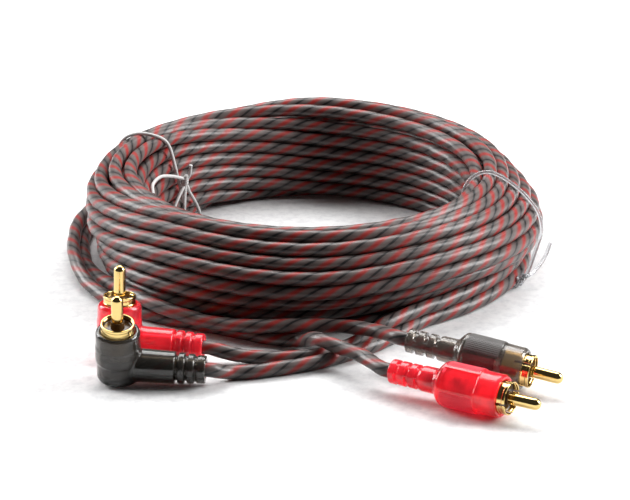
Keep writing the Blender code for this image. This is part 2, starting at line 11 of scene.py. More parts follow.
import bpy
import numpy as np
from bpy.props import FloatProperty, FloatVectorProperty, PointerProperty
from mathutils import Matrix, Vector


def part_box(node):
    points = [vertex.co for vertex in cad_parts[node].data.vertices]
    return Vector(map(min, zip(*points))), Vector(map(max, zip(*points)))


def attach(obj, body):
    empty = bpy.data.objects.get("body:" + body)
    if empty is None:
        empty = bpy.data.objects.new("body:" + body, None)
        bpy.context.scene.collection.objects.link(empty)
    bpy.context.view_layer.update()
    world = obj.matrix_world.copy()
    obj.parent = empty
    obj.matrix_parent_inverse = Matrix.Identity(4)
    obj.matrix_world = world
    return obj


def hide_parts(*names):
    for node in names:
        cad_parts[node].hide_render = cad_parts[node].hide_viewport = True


bl_info = {
    "name": "Coiled phono lead",
    "version": (1, 0, 0),
    "blender": (4, 5, 0),
    "location": "View3D > Sidebar > Phono lead",
    "description": "Builds a coiled stereo phono lead with its plugs, ties and a plain studio stage",
    "category": "Object",
}

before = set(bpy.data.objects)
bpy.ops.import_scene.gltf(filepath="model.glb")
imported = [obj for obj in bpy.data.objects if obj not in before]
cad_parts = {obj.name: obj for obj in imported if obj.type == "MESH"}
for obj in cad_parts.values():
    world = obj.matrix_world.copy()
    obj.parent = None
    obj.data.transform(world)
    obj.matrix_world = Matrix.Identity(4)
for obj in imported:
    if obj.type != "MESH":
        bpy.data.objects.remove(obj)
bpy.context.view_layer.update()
RING_LOW, RING_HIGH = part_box("cable_coil")

MM = 0.001
BODY = "root"
RING_CENTRE = np.array([
    (RING_LOW.x + RING_HIGH.x) / 2, (RING_LOW.y + RING_HIGH.y) / 2, RING_LOW.z
])

# Leads
LEAD_RADIUS = 1.95
LEAD_SIDES = 18
LEAD_SPACING = 1.55
TURN_STEPS = 90
TURN_DEGREES = 360 / TURN_STEPS
FIRST_BEARING = 126.0
KEY_BLUR = 2.0
WANDER_SEED = 11
WANDER_SIZE = 0.28
WANDER_BLUR = 9.0
WANDER_FADE = 20
STRAND_GAP = 3.93
RELAX_ROUNDS = 160
RELAX_SHARE = 0.45
RELAX_BLUR = 0.8
INNER_LIMIT = 46.0
ENTRY_SKIP = 2
EXIT_SKIP = 1

# Ties
TIE_BEARINGS = (150.0, -20.0)
TIE_LIFT = 1.1
TIE_LIFT_SPREAD = 9.0
TIE_LOWEST = 0.6
TIE_BLUR = 2.6
TWIST_RADIUS = 0.55
KNOT_RADIUS = 0.75
KNOT_SPOT = (61.2, -28.6, 4.2)

# Plugs, the same sizes as in the model's source
PIN_RADIUS = 1.6
PIN_REACH = 8.4
SLEEVE_RADIUS = 4.5
SLEEVE_WALL = 0.45
SLEEVE_REACH = 2.3
SLEEVE_START = -5.5
SLEEVE_SLOT = 4.6
BOOT_RADIUS = 6.0
CAVITY_RADIUS = 4.8
LEAD_BORE_RADIUS = 2.25
ANGLE_HEIGHT = 15.2
ANGLE_FLOOR = 2.0
ARM_AXIS_HEIGHT = 4.35
ARM_LENGTH = 23.6
ARM_CORE = 3.3
ARM_RINGS = ((3.75, 2.35), (4.0, 1.85), (4.2, 1.85))
ARM_RING_GAP = 0.7
ARM_ROOT = (4.4, 4.7)
POCKET_TOP = 19.0
BORE_END = 26.0
VOXEL_SIZE = 0.24
STRAIGHT_LENGTH = 33.2
STRAIGHT_CAVITY_START = 15.9
RELIEF_SLOTS = (2.6, 5.65, 8.7)
RELIEF_SLOT_HALF = 0.62
RELIEF_GROOVE_DEPTH = 0.28
RELIEF_WINDOW_DEPTH = 0.55
FLAT_START = 16.8
FLAT_END = 27.3
FLAT_DISTANCE = 5.2
INSULATOR_DEPTH = 1.5
GRIP_START = 16.9
GRIP_END = 26.8
GRIP_ANGLE = 54
GRIP_PITCH = 0.86
GRIP_RELIEF = 0.1
ROUND_SIDES = 96
NEAR_AXIS = 0.02

# Looks of the striped jacket, as shares of the way from the red stripe's middle to the dark line
STRIPE_STARTS = 2.0
TRACER_EDGE = (0.06, 0.45)
TRACER_STRENGTH = 0.94
SHADE_EDGE = (0.45, 0.85)
SHADE_STRENGTH = 0.35
LINE_EDGE = (0.84, 0.92)
NOISE_RANGE = (0.3, 0.7)

# Light scattered inside the red boots, how far red, green and blue of it reach as shares of the depth
# in metres; and a painted glow, emission that is painted light inside them: its colour, and its
# strength from the cloudy to the clear patches
PAINTED_GLOW_COLOUR = (1.0, 0.035, 0.06)
GLOW_REACH = (1.0, 0.12, 0.1)
GLOW_DEPTH = 0.006
PAINTED_GLOW_EDGE = (0.32, 0.68)
PAINTED_GLOW_STRENGTH = (0.16, 0.52)

# Stage
PICTURE_WIDTH = 630
SENSOR_WIDTH = 36.0
PIXELS_LEFT = 2.5
PIXELS_BELOW = 6.5
FLOOR_HALF = 3.0
FLOOR_BOUNCE = 0.11
AMBIENT_STRENGTH = 0.035
RIGHT_LAMP_SHARE = 1.2

ANGLE_PLUGS = {
    "black_angle": {"place": (-52.0, -94.9, 1.35), "yaw": -5.0, "lean": 12.0, "roll": 1.2},
    "red_angle": {"place": (-53.0, -78.8, 0.65), "yaw": -10.0, "lean": -5.0, "roll": 1.5},
}
STRAIGHT_PLUGS = {
    "grey_straight": {"place": (25.7, -88.9, 9.55), "yaw": -22.0, "pitch": 5.9, "roll": 0.0},
    "red_straight": {"place": (21.1, -101.8, 6.02), "yaw": -31.0, "pitch": 0.0, "roll": -40.0},
}
BOOT_SLOTS = {
    "black_angle": "boot_smoke", "red_angle": "boot_red", "grey_straight": "boot_smoke",
    "red_straight": "boot_red",
}

# Free stretches of the leads: x, y and the lift of the underside, from each plug to the ring
GREY_STRAIGHT_ROUTE = (
    (18.0, -78.4, 5.8), (10.3, -71.9, 4.45), (2.1, -70.1, 4.1), (-4.2, -70.5, 4.3),
    (-11.2, -70.6, 4.15), (-16.0, -69.8, 3.8), (-21.5, -67.6, 3.2), (-27.2, -64.8, 2.7),
    (-32.9, -62.0, 2.9), (-38.2, -59.2, 3.6), (-43.0, -55.8, 4.05), (-47.8, -50.6, 4.2),
    (-53.3, -41.8, 3.4), (-58.4, -31.7, 1.6), (-63.2, -22.0, 0.2), (-67.3, -11.4, 0.0),
    (-69.3, 2.0, 0.0), (-69.9, 9.2, 0.0), (-69.4, 16.4, 0.0), (-67.9, 24.4, 0.0),
    (-64.3, 32.6, 0.0), (-57.8, 40.2, 0.0), (-49.7, 46.2, 0.0), (-42.1, 50.2, 0.0),
)
RED_STRAIGHT_ROUTE = (
    (14.2, -92.8, 4.05), (10.1, -88.2, 4.1), (6.9, -85.4, 4.1), (4.2, -83.2, 4.4),
    (2.0, -80.8, 4.4), (-0.1, -77.4, 3.2), (-2.1, -74.2, 1.3), (-6.2, -71.2, 0.3),
    (-10.4, -69.8, 0.05), (-16.0, -67.1, 0.0), (-21.6, -64.0, 0.0), (-27.4, -61.1, 0.0),
    (-33.1, -58.2, 0.0), (-40.2, -55.0, 0.0), (-47.8, -50.6, 0.0), (-54.5, -44.4, 0.0),
    (-61.0, -36.2, 0.15), (-66.1, -27.4, 0.9), (-69.1, -19.6, 2.5), (-70.6, -13.0, 3.4),
    (-71.6, -5.3, 3.7), (-71.8, 1.3, 3.8), (-71.9, 10.1, 3.9), (-70.8, 18.2, 4.0),
    (-67.9, 27.3, 4.1), (-62.7, 36.2, 4.1), (-55.9, 44.0, 4.1), (-48.4, 50.3, 4.1),
)
BLACK_ANGLE_ROUTE = (
    (-22.2, -94.0, 0.3), (-15.5, -92.6, 0.0), (-10.1, -90.9, 0.0), (-3.4, -88.4, 0.0),
    (3.4, -85.2, 0.0), (10.2, -80.2, 0.0), (17.2, -74.2, 0.0), (20.8, -70.2, 0.0),
    (24.4, -65.5, 0.0), (28.0, -60.6, 0.0), (31.7, -56.2, 0.0),
)
RED_ANGLE_ROUTE = (
    (-21.2, -83.0, 0.9), (-15.7, -83.0, 0.1), (-10.2, -83.3, 0.0), (-6.1, -83.1, 0.0),
    (-2.1, -82.4, 0.0), (3.4, -80.0, 0.0), (10.3, -74.6, 0.2), (14.0, -71.6, 0.9),
    (17.3, -69.0, 2.1), (20.6, -66.7, 3.4),
)

# The bundle's outer strands, as radius and height at each bearing below. The bearings are degrees
# from +X, on the way round. Turns take these places in the order in which they are listed.
BEARINGS = (90, 0, -55, -91, -133, -180, -215)
HULL = {
    "low_side": (None, (65.4, 9.4), (63.8, 12.4), (64.9, 10.4), (66.6, 11.5), (61.6, 5.6), (61.8, 6.0)),
    "mid_side": (None, (66.7, 13.3), (66.5, 16.6), (67.1, 14.0), (66.7, 15.8), (63.0, 9.2), (64.0, 9.8)),
    "high_side": ((69.6, 13.6), (65.7, 17.3), (64.6, 19.8), (66.7, 18.0), (65.6, 19.8), (64.7, 12.6),
                  (65.8, 13.4)),
    "shoulder": ((69.0, 17.7), (62.9, 20.6), (61.6, 22.4), (62.8, 20.9), (62.3, 22.2), (66.0, 16.2),
                 (67.3, 17.0)),
    "brow": ((69.2, 22.3), (59.9, 23.2), (60.4, 25.2), (60.8, 24.3), (59.9, 25.2), (66.2, 20.2),
             (67.2, 20.8)),
    "crown": ((67.4, 27.7), (56.6, 25.4), (56.6, 27.0), (56.4, 27.0), (56.2, 27.2), (62.9, 23.9),
              (64.4, 24.8)),
    "top": ((62.6, 29.6), (52.7, 27.2), (52.5, 26.6), (52.4, 26.4), (52.3, 26.8), (58.9, 26.9),
            (60.2, 27.2)),
    "lip": ((56.8, 27.4), (48.9, 25.9), (49.2, 24.3), (49.8, 23.4), (50.1, 23.5), (55.0, 26.4),
            (56.0, 26.3)),
}
# The inner wall and the hidden core, as radius and height before the bundle's own lean is added
CORE = {
    "wall_6": (50.2, 20.6), "wall_5": (50.0, 16.9), "wall_4": (50.0, 13.2), "wall_3": (50.1, 9.5),
    "wall_2": (50.2, 5.8), "wall_1": (50.2, 1.95), "core_1": (54.2, 1.95), "core_2": (54.3, 6.4),
    "core_3": (54.2, 11.0), "core_4": (54.0, 15.6), "core_5": (54.4, 20.4), "core_8": (58.4, 17.4),
    "core_7": (58.6, 12.4), "core_6": (58.4, 7.4),
}
FOOT = {
    "foot": ((65.0, 1.95), (59.4, 1.95), (59.9, 1.95), (60.3, 1.95), (61.2, 1.95), (57.4, 1.95),
             (58.0, 1.95)),
    "heel": ((66.4, 9.6), (61.5, 9.2), (61.4, 8.9), (62.9, 6.4), (64.9, 6.2), (61.0, 2.0),
             (61.6, 2.2)),
}
LEAN_X = (1.7, -5.0)
LEAN_Y = (0.0, 3.0)
LEAN_HEIGHTS = (4.0, 22.5)
BACK_RISE = 0.12
BACK_SHIFT = 4.0

# First and last turn of each lead, which join the free stretches: bearing, radius and height
ENTRY = {
    "grey": ((122, 64.2, 1.95), (108, 65.0, 1.95), (90, 70.2, 1.95), (60, 66.6, 2.6), (30, 66.6, 5.6)),
    "red": ((124, 68.7, 5.95), (108, 68.0, 5.8), (90, 70.6, 6.2), (60, 67.6, 7.6), (30, 67.4, 10.4)),
}
EXIT = {
    "grey": ((90, 67.4, 4.4), (45, 65.0, 2.2), (0, 63.3, 1.95), (-30, 63.6, 1.95), (-50, 63.7, 1.95),
             (-57, 63.5, 1.95)),
    "red": ((90, 65.8, 8.2), (45, 64.0, 6.4), (0, 63.4, 5.7), (-30, 63.0, 5.6), (-50, 62.6, 5.5),
            (-62, 65.0, 5.8), (-69, 67.6, 5.8)),
}


def place(points):
    """Millimetres from the ring's middle to metres in the frame."""
    return np.asarray(points, float) * MM + RING_CENTRE


def unit(vectors):
    """The same directions, one long."""
    return vectors / np.linalg.norm(vectors, axis=-1, keepdims=True)


def turn(axis, degrees):
    """Matrix of a turn about one axis, 0 for X, 1 for Y and 2 for Z."""
    c, s = math.cos(math.radians(degrees)), math.sin(math.radians(degrees))
    first, second = (axis + 1) % 3, (axis + 2) % 3
    matrix = np.eye(3)
    matrix[first, first] = matrix[second, second] = c
    matrix[first, second], matrix[second, first] = -s, s
    return matrix


def angle_seat(spec):
    """Turn and place of a right-angle plug, whose pin is its own Z and whose arm is its X."""
    return turn(1, spec["roll"]) @ turn(0, spec["lean"]) @ turn(2, spec["yaw"]), np.array(spec["place"])


def straight_seat(spec):
    """Turn and place of a straight plug, whose pin is its own Z."""
    matrix = turn(2, spec["yaw"]) @ turn(1, 90 + spec["pitch"]) @ turn(2, spec["roll"])
    return matrix, np.array(spec["place"])


def seated(points, seat):
    """Points of a plug moved from its own axes to its turn and place."""
    matrix, spot = seat
    return np.asarray(points, float) @ matrix.T + spot


def even_spacing(points, spacing):
    """The same line cut at even lengths."""
    steps = np.linalg.norm(np.diff(points, axis=0), axis=1)
    along = np.concatenate([[0], np.cumsum(steps)])
    marks = np.linspace(0, along[-1], max(2, round(along[-1] / spacing)) + 1)
    return np.stack([np.interp(marks, along, points[:, k]) for k in range(points.shape[1])], axis=1)


def curve_through(points, spacing):
    """Catmull-Rom curve: between two points it is the cubic whose slope at each is half the step
    from the point before to the point after."""
    points = np.asarray(points, float)
    ends = np.vstack([2 * points[0] - points[1], points, 2 * points[-1] - points[-2]])
    a, b, c, d = (ends[k:len(ends) - 3 + k, None] for k in range(4))
    t = np.linspace(0, 1, 16, endpoint=False)[None, :, None]
    fine = 0.5 * (
        2 * b + (c - a) * t + (2 * a - 5 * b + 4 * c - d) * t ** 2 + (3 * b - a - 3 * c + d) * t ** 3
    )
    return even_spacing(np.vstack([fine.reshape(-1, points.shape[1]), points[-1:]]), spacing)


def tube_rings(path, radius, sides):
    """Circles square to a path: centre plus radius times (cosine of the angle times the level
    side direction plus its sine times the direction square to that)."""
    along = unit(np.gradient(path, axis=0))
    side = unit(np.cross(along, (0.0, 0.0, 1.0)) + (0.0, 1e-6, 0.0))
    over = np.cross(side, along)
    angle = np.linspace(0, math.tau, sides, endpoint=False)
    reach = np.broadcast_to(radius, (len(path), sides))[..., None]
    circle = np.cos(angle)[:, None] * side[:, None] + np.sin(angle)[:, None] * over[:, None]
    return path[:, None] + reach * circle


def rounded(corners, steps=4):
    """Profile through (radius, height, rounding) corners: each corner becomes a parabola that
    starts one rounding before it and ends one rounding after it."""
    spots = np.array([corner[:2] for corner in corners], float)
    line = [spots[0]]
    for before, spot, after, corner in zip(spots, spots[1:], spots[2:], corners[1:]):
        size = corner[2]
        start = spot + (before - spot) / np.linalg.norm(before - spot) * size
        end = spot + (after - spot) / np.linalg.norm(after - spot) * size
        t = np.linspace(0, 1, steps + 1)[:, None]
        line.extend((1 - t) ** 2 * start + 2 * t * (1 - t) * spot + t ** 2 * end)
    line.append(spots[-1])
    return np.array(line)


def turned_rings(profile, sides):
    """A profile of radius and height turned about Z: radius times cosine, radius times sine, height."""
    angle = np.linspace(0, math.tau, sides, endpoint=False)
    radius, height = profile[:, :1], profile[:, 1:2]
    return np.stack([
        radius * np.cos(angle), radius * np.sin(angle), np.broadcast_to(height, (len(profile), sides))
    ], axis=-1)


def skin_faces(rows, sides, closed):
    """Four-cornered faces between neighbouring rings."""
    row = np.arange(rows if closed else rows - 1)[:, None]
    column = np.arange(sides)[None, :]
    above, beside = (row + 1) % rows, (column + 1) % sides
    corners = (row * sides + column, row * sides + beside, above * sides + beside, above * sides + column)
    return np.stack(np.broadcast_arrays(*corners), axis=-1).reshape(-1, 4)


def signed_volume(points, quads):
    """Six times the volume inside the faces, below nothing when they face inwards."""
    a, b, c, d = (points[quads[:, k]] for k in range(4))
    first = np.einsum("ij,ij->i", a, np.cross(b, c))
    second = np.einsum("ij,ij->i", a, np.cross(c, d))
    return (first + second).sum()


def add_skin(name, rings, material, closed=False, marks=None, crease=35.0):
    """One object skinned over rings of points, capped at both ends unless it closes on itself.
    marks holds a length for each ring, which goes with the turn round the ring into a UV map."""
    rows, sides = rings.shape[:2]
    points = place(rings.reshape(-1, 3))
    quads = skin_faces(rows, sides, closed)
    flipped = signed_volume(points - points.mean(axis=0), quads) < 0
    if flipped:
        quads = quads[:, ::-1]
    faces = quads.tolist()
    if not closed:
        first, last = list(range(sides)), list(range((rows - 1) * sides, rows * sides))
        faces.append(first if flipped else first[::-1])
        faces.append(last[::-1] if flipped else last)
    mesh = bpy.data.meshes.new(name)
    mesh.from_pydata(points.tolist(), [], faces)
    if marks is not None:
        row = np.repeat(np.arange(rows - 1), sides)
        column = np.tile(np.arange(sides), rows - 1)
        corner_rows = np.stack([row, row, row + 1, row + 1], axis=1)
        corner_columns = np.stack([column, column + 1, column + 1, column], axis=1)
        if flipped:
            corner_rows, corner_columns = corner_rows[:, ::-1], corner_columns[:, ::-1]
        spots = np.stack([np.asarray(marks)[corner_rows], corner_columns / sides], axis=-1).reshape(-1, 2)
        layer = mesh.uv_layers.new(name="stripe")
        flat = np.zeros((len(mesh.loops), 2), np.float32)
        flat[:len(spots)] = spots
        layer.data.foreach_set("uv", flat.ravel())
    mesh.shade_smooth()
    mesh.set_sharp_from_angle(angle=math.radians(crease))
    mesh.materials.append(material)
    made = bpy.data.objects.new(name, mesh)
    bpy.context.scene.collection.objects.link(made)
    return made


def add_turned(name, profile, sides, seat, material, closed=False):
    """A turned piece in its plug's seat."""
    return add_skin(name, seated(turned_rings(profile, sides), seat), material, closed=closed)


def settle(piece):
    """Apply a piece's modifiers and keep the result as its mesh."""
    graph = bpy.context.evaluated_depsgraph_get()
    mesh = bpy.data.meshes.new_from_object(piece.evaluated_get(graph))
    piece.modifiers.clear()
    piece.data = mesh
    return piece


def carve(piece, tool, operation="DIFFERENCE"):
    """Take a tool away from a piece, or join it on."""
    modifier = piece.modifiers.new(operation.title(), "BOOLEAN")
    modifier.operation = operation
    modifier.solver = "EXACT"
    modifier.object = tool
    tool.hide_render = True


def drop(*tools):
    """Delete tools that have done their work."""
    for tool in tools:
        bpy.data.objects.remove(tool, do_unlink=True)


def dress(piece, slot, *nodes):
    """Fix a finished piece to the body and hide the nodes that it stands for."""
    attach(piece, BODY)
    if nodes:
        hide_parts(*nodes)
    return piece


# Materials


def new_finish(name):
    """A new material, its nodes and its shader."""
    material = bpy.data.materials.new(name)
    material.use_nodes = True
    return material, material.node_tree, material.node_tree.nodes["Principled BSDF"]


def wire(tree, kind, inputs=(), output=0, **settings):
    """Add a node, set its properties and inputs, and return one of its outputs."""
    node = tree.nodes.new(kind)
    for key, value in settings.items():
        setattr(node, key, value)
    pairs = inputs.items() if isinstance(inputs, dict) else enumerate(inputs)
    for index, value in pairs:
        if isinstance(value, bpy.types.NodeSocket):
            tree.links.new(value, node.inputs[index])
        elif value is not None:
            node.inputs[index].default_value = value
    return node.outputs[output]


def reckon(tree, operation, *values):
    """Result of a sum on numbers or sockets."""
    return wire(tree, "ShaderNodeMath", values, operation=operation)


def blend_colour(tree, share, first, second):
    """The first colour where the share is nothing, the second where it is one."""
    return wire(
        tree, "ShaderNodeMix", {0: share, 6: first, 7: second}, output=2,
        data_type="RGBA", clamp_factor=True,
    )


def step_between(tree, value, low, high, bottom=0.0, top=1.0):
    """Smooth ramp from bottom to top as the value goes from low to high."""
    return wire(
        tree, "ShaderNodeMapRange", {0: value, 1: low, 2: high, 3: bottom, 4: top},
        interpolation_type="SMOOTHSTEP",
    )


def speckle(tree, scale, detail=3.0, roughness=0.5):
    """Noise that is fixed to the piece, finer the higher the scale."""
    spot = wire(tree, "ShaderNodeTexCoord", output=3)
    return wire(tree, "ShaderNodeTexNoise", {0: spot, 2: scale, 3: detail, 4: roughness})


def set_inputs(shader, **values):
    """Set shader inputs by their names, with underscores for spaces."""
    for key, value in values.items():
        shader.inputs[key.replace("_", " ")].default_value = value


def rgba(colour):
    return (colour[0], colour[1], colour[2], 1.0)


def uneven_gloss(tree, shader, grain, low, high):
    """Let the roughness drift between two values with a grain."""
    tree.links.new(step_between(tree, grain, *NOISE_RANGE, low, high), shader.inputs["Roughness"])


def fine_bump(tree, shader, scale, strength, height):
    """Fine grain on the surface, with its height in metres."""
    bump = wire(tree, "ShaderNodeBump", {0: strength, 1: height, 3: speckle(tree, scale)})
    tree.links.new(bump, shader.inputs["Normal"])


def jacket_finish(settings):
    """Smoke-grey jacket over twisted cores. The map's first number counts stripes along the lead,
    and twice its second is taken off, so the pattern winds round as a helix with two starts."""
    material, tree, shader = new_finish("jacket_striped")
    marks = wire(tree, "ShaderNodeSeparateXYZ", [wire(tree, "ShaderNodeUVMap", uv_map="stripe")])
    split = marks.node.outputs
    wound = reckon(tree, "SUBTRACT", split[0], reckon(tree, "MULTIPLY", split[1], STRIPE_STARTS))
    drift = reckon(tree, "MULTIPLY_ADD", speckle(tree, 260.0), 0.09, -0.045)
    phase = reckon(tree, "FRACT", reckon(tree, "ADD", wound, drift))
    aside = reckon(tree, "MULTIPLY", reckon(tree, "ABSOLUTE", reckon(tree, "SUBTRACT", phase, 0.5)), 2.0)
    patch = speckle(tree, 420.0, 4.0, 0.6)
    base = blend_colour(tree, patch, rgba(settings.jacket_dark), rgba(settings.jacket_colour))
    line = rgba(settings.groove_colour)
    shade = step_between(tree, aside, *SHADE_EDGE)
    base = blend_colour(tree, reckon(tree, "MULTIPLY", shade, SHADE_STRENGTH), base, line)
    red = blend_colour(tree, patch, rgba(settings.tracer_dark), rgba(settings.tracer_colour))
    tracer = step_between(tree, aside, *TRACER_EDGE, TRACER_STRENGTH, 0.0)
    colour = blend_colour(tree, tracer, base, red)
    colour = blend_colour(tree, step_between(tree, aside, *LINE_EDGE), colour, line)
    tree.links.new(colour, shader.inputs["Base Color"])
    uneven_gloss(tree, shader, speckle(tree, 900.0), 0.34, 0.46)
    fine_bump(tree, shader, 1800.0, 0.12, 0.00006)
    set_inputs(shader, Specular_IOR_Level=0.45, Coat_Weight=0.12, Coat_Roughness=0.22)
    return material


def boot_finish(name, clear, cloudy_share, soak, transmission, roughness, painted_glow=0.0):
    """Soft translucent plastic, a little cloudy, with faint flow marks. Light that goes through it
    fades with the distance, so thick parts look darker than thin ones. The glow number sets how much
    the plastic scatters light under its surface, and also a painted glow: emission, painted light that
    lights the red ones from inside, most where they are clearest."""
    material, tree, shader = new_finish(name)
    cloud = speckle(tree, 160.0, 4.0, 0.55)
    deep = [c * share for c, share in zip(clear, cloudy_share)]
    colour = blend_colour(tree, step_between(tree, cloud, *NOISE_RANGE), rgba(deep), rgba(clear))
    tree.links.new(colour, shader.inputs["Base Color"])
    uneven_gloss(tree, shader, speckle(tree, 700.0), roughness * 0.85, roughness * 1.2)
    fine_bump(tree, shader, 1500.0, 0.1, 0.00005)
    set_inputs(shader, IOR=1.48, Transmission_Weight=transmission, Coat_Weight=0.25, Coat_Roughness=0.12)
    # Subsurface scattering, and the colour of the painted glow, an emission that is painted light
    set_inputs(
        shader, Subsurface_Weight=painted_glow, Subsurface_Radius=GLOW_REACH, Subsurface_Scale=GLOW_DEPTH,
        Emission_Color=rgba(PAINTED_GLOW_COLOUR),
    )
    # Strength of the painted glow: emission, painted light from inside, strongest in the clearest patches
    painted_glow_ramp = step_between(tree, cloud, *PAINTED_GLOW_EDGE, *(strength * painted_glow for strength in PAINTED_GLOW_STRENGTH))
    tree.links.new(painted_glow_ramp, shader.inputs["Emission Strength"])
    inside = tree.nodes.new("ShaderNodeVolumeAbsorption")
    inside.inputs["Color"].default_value = rgba(soak[:3])
    inside.inputs["Density"].default_value = soak[3]
    tree.links.new(inside.outputs[0], tree.nodes["Material Output"].inputs["Volume"])
    return material


def metal_finish(name, colour, roughness):
    """Plated metal with fine turning marks and slightly uneven gloss."""
    material, tree, shader = new_finish(name)
    grain = speckle(tree, 900.0)
    tone = blend_colour(tree, grain, rgba([c * 0.86 for c in colour]), rgba(colour))
    tree.links.new(tone, shader.inputs["Base Color"])
    uneven_gloss(tree, shader, grain, roughness * 0.8, roughness * 1.3)
    set_inputs(shader, Metallic=1.0)
    return material


def plain_finish(name, colour, roughness, transmission=0.0, painted_glow=0.0):
    """Moulded plastic with a trace of mottling. The glow number is a painted glow: emission in the
    plastic's own colour, painted light that stands for light coming through it from the clear plastic
    underneath."""
    material, tree, shader = new_finish(name)
    grain = speckle(tree, 600.0)
    tone = blend_colour(tree, grain, rgba([c * 0.82 for c in colour]), rgba(colour))
    tree.links.new(tone, shader.inputs["Base Color"])
    uneven_gloss(tree, shader, grain, roughness * 0.85, roughness * 1.15)
    # The emission strength is the painted glow, painted light in the plastic's own colour
    set_inputs(
        shader, Transmission_Weight=transmission, IOR=1.46, Emission_Color=rgba(colour),
        Emission_Strength=painted_glow,
    )
    return material


# Leads


def lean(bearing, height):
    """How far the bundle leans out along a bearing at a height: it sits a little to the left and
    back at the top, and a little to the right at the floor."""
    share = (height - LEAN_HEIGHTS[0]) / LEAN_HEIGHTS[1]
    across, away = LEAN_X[0] + LEAN_X[1] * share, LEAN_Y[0] + LEAN_Y[1] * share
    return across * math.cos(math.radians(bearing)) + away * math.sin(math.radians(bearing))


def back_share(bearing):
    """One at the far side of the ring, which stands higher and further out, nothing at the sides."""
    return max(0.0, math.sin(math.radians(bearing)))


def strand_places():
    """For each place in the bundle, its (bearing, radius, height) keys, in winding order."""
    places = [list(zip(BEARINGS, spots)) for spots in HULL.values()]
    for radius, height in CORE.values():
        places.append([
            (bearing, (
                radius + lean(bearing, height) + BACK_SHIFT * back_share(bearing),
                height * (1 + BACK_RISE * back_share(bearing)),
            ))
            for bearing in BEARINGS
        ])
    places.extend(list(zip(BEARINGS, spots)) for spots in FOOT.values())
    return places


def wound_keys(lead, first):
    """Keys of one lead on its whole way through the bundle: degrees wound, radius and height."""
    places = strand_places()[first::2]
    keys = [(FIRST_BEARING - bearing, radius, height) for bearing, radius, height in ENTRY[lead]]
    for lap, spots in enumerate(places):
        for bearing, spot in spots:
            if spot is not None and not (lap == 0 and bearing > 20):
                keys.append((360 * lap + FIRST_BEARING - bearing, *spot))
    laps = len(places)
    for bearing, radius, height in EXIT[lead]:
        keys.append((360 * laps + FIRST_BEARING - bearing, radius, height))
    return np.array(keys)


def blur(values, reach):
    """Weighted mean along the first axis, with weights that fall off as a bell over the reach."""
    span = int(3 * reach) + 1
    weights = np.exp(-0.5 * (np.arange(-span, span + 1) / reach) ** 2)
    padded = np.concatenate([values[:1].repeat(span, 0), values, values[-1:].repeat(span, 0)])
    rows = np.stack([padded[k:k + len(values)] for k in range(2 * span + 1)])
    return np.tensordot(weights / weights.sum(), rows, axes=1)


def wander(count, seed, size):
    """Slow uneven drift: random numbers, blurred along the lead."""
    noise = np.random.default_rng(seed).normal(size=(count, 2))
    drift = blur(noise, WANDER_BLUR)
    return drift / drift.std() * size


def first_layout():
    """Radius and height of both leads at every step of the winding, before they are pushed apart."""
    layouts = []
    for index, lead in enumerate(("grey", "red")):
        keys = wound_keys(lead, index)
        degrees = np.arange(0, keys[-1, 0] + 0.1, TURN_DEGREES)
        spots = np.stack([np.interp(degrees, keys[:, 0], keys[:, k]) for k in (1, 2)], axis=1)
        spots = blur(spots, KEY_BLUR)
        order = np.arange(len(spots))
        fade = np.clip(np.minimum(order, order[::-1]) / WANDER_FADE, 0, 1)
        layouts.append(spots + wander(len(spots), WANDER_SEED + index, WANDER_SIZE) * fade[:, None])
    return layouts


def route_stops():
    """Radius and height of the free leads at each bearing, which the wound strands keep clear of."""
    stops = []
    for route in (GREY_STRAIGHT_ROUTE, RED_STRAIGHT_ROUTE, BLACK_ANGLE_ROUTE, RED_ANGLE_ROUTE):
        line = curve_through(lifted(route), 1.0)
        radius = np.hypot(line[:, 0], line[:, 1])
        turned = (FIRST_BEARING - np.degrees(np.arctan2(line[:, 1], line[:, 0]))) % 360
        bins = np.round(turned / TURN_DEGREES).astype(int) % TURN_STEPS
        stop = np.full((TURN_STEPS, 2), np.nan)
        stop[bins] = np.stack([radius, line[:, 2]], axis=1)
        stops.append(stop)
    return np.array(stops)


def tie_lift():
    """How far the ties under the ring hold it off the floor at each bearing: one tie's thickness
    times a bell curve round each tie."""
    bearings = FIRST_BEARING - TURN_DEGREES * np.arange(TURN_STEPS)
    away = np.stack([(bearings - spot + 180) % 360 - 180 for spot in TIE_BEARINGS])
    return TIE_LIFT * np.exp(-0.5 * (away / TIE_LIFT_SPREAD) ** 2).max(axis=0)


def push_apart(layouts):
    """Move strands that overlap away from each other. At each bearing every pair closer than one
    diameter is moved apart by a share of what is missing, round after round, and the moves are
    blurred along the lead. A few pairs still overlap by some tenths of a millimetre at the end."""
    laps = max(math.ceil(len(spots) / TURN_STEPS) for spots in layouts)
    table = np.full((2, laps * TURN_STEPS, 2), np.nan)
    for index, spots in enumerate(layouts):
        table[index, :len(spots)] = spots
    held = np.isnan(table)
    stops = route_stops()
    base = table.copy()
    ground = LEAD_RADIUS + np.tile(tie_lift(), laps)
    for _ in range(RELAX_ROUNDS):
        strands = np.concatenate([table.reshape(-1, TURN_STEPS, 2), stops])
        apart = strands[:, None] - strands[None]
        distance = np.linalg.norm(apart, axis=-1) + np.eye(len(strands))[..., None] * 99
        short = np.clip(STRAND_GAP - distance, 0, None)
        push = np.where(np.isnan(short), 0, short)[..., None] * np.nan_to_num(
            apart / np.maximum(distance, 0.01)[..., None]
        )
        moved = RELAX_SHARE * push.sum(axis=1)[:-len(stops)].reshape(2, -1, 2)
        table = table + moved
        offset = np.nan_to_num(table - base)
        offset = np.stack([blur(row, RELAX_BLUR) for row in offset])
        table = base + offset
        table[..., 1] = np.maximum(table[..., 1], ground)
        table[..., 0] = np.maximum(table[..., 0], INNER_LIMIT)
    table[held] = np.nan
    return [table[index, :len(spots)] for index, spots in enumerate(layouts)], table


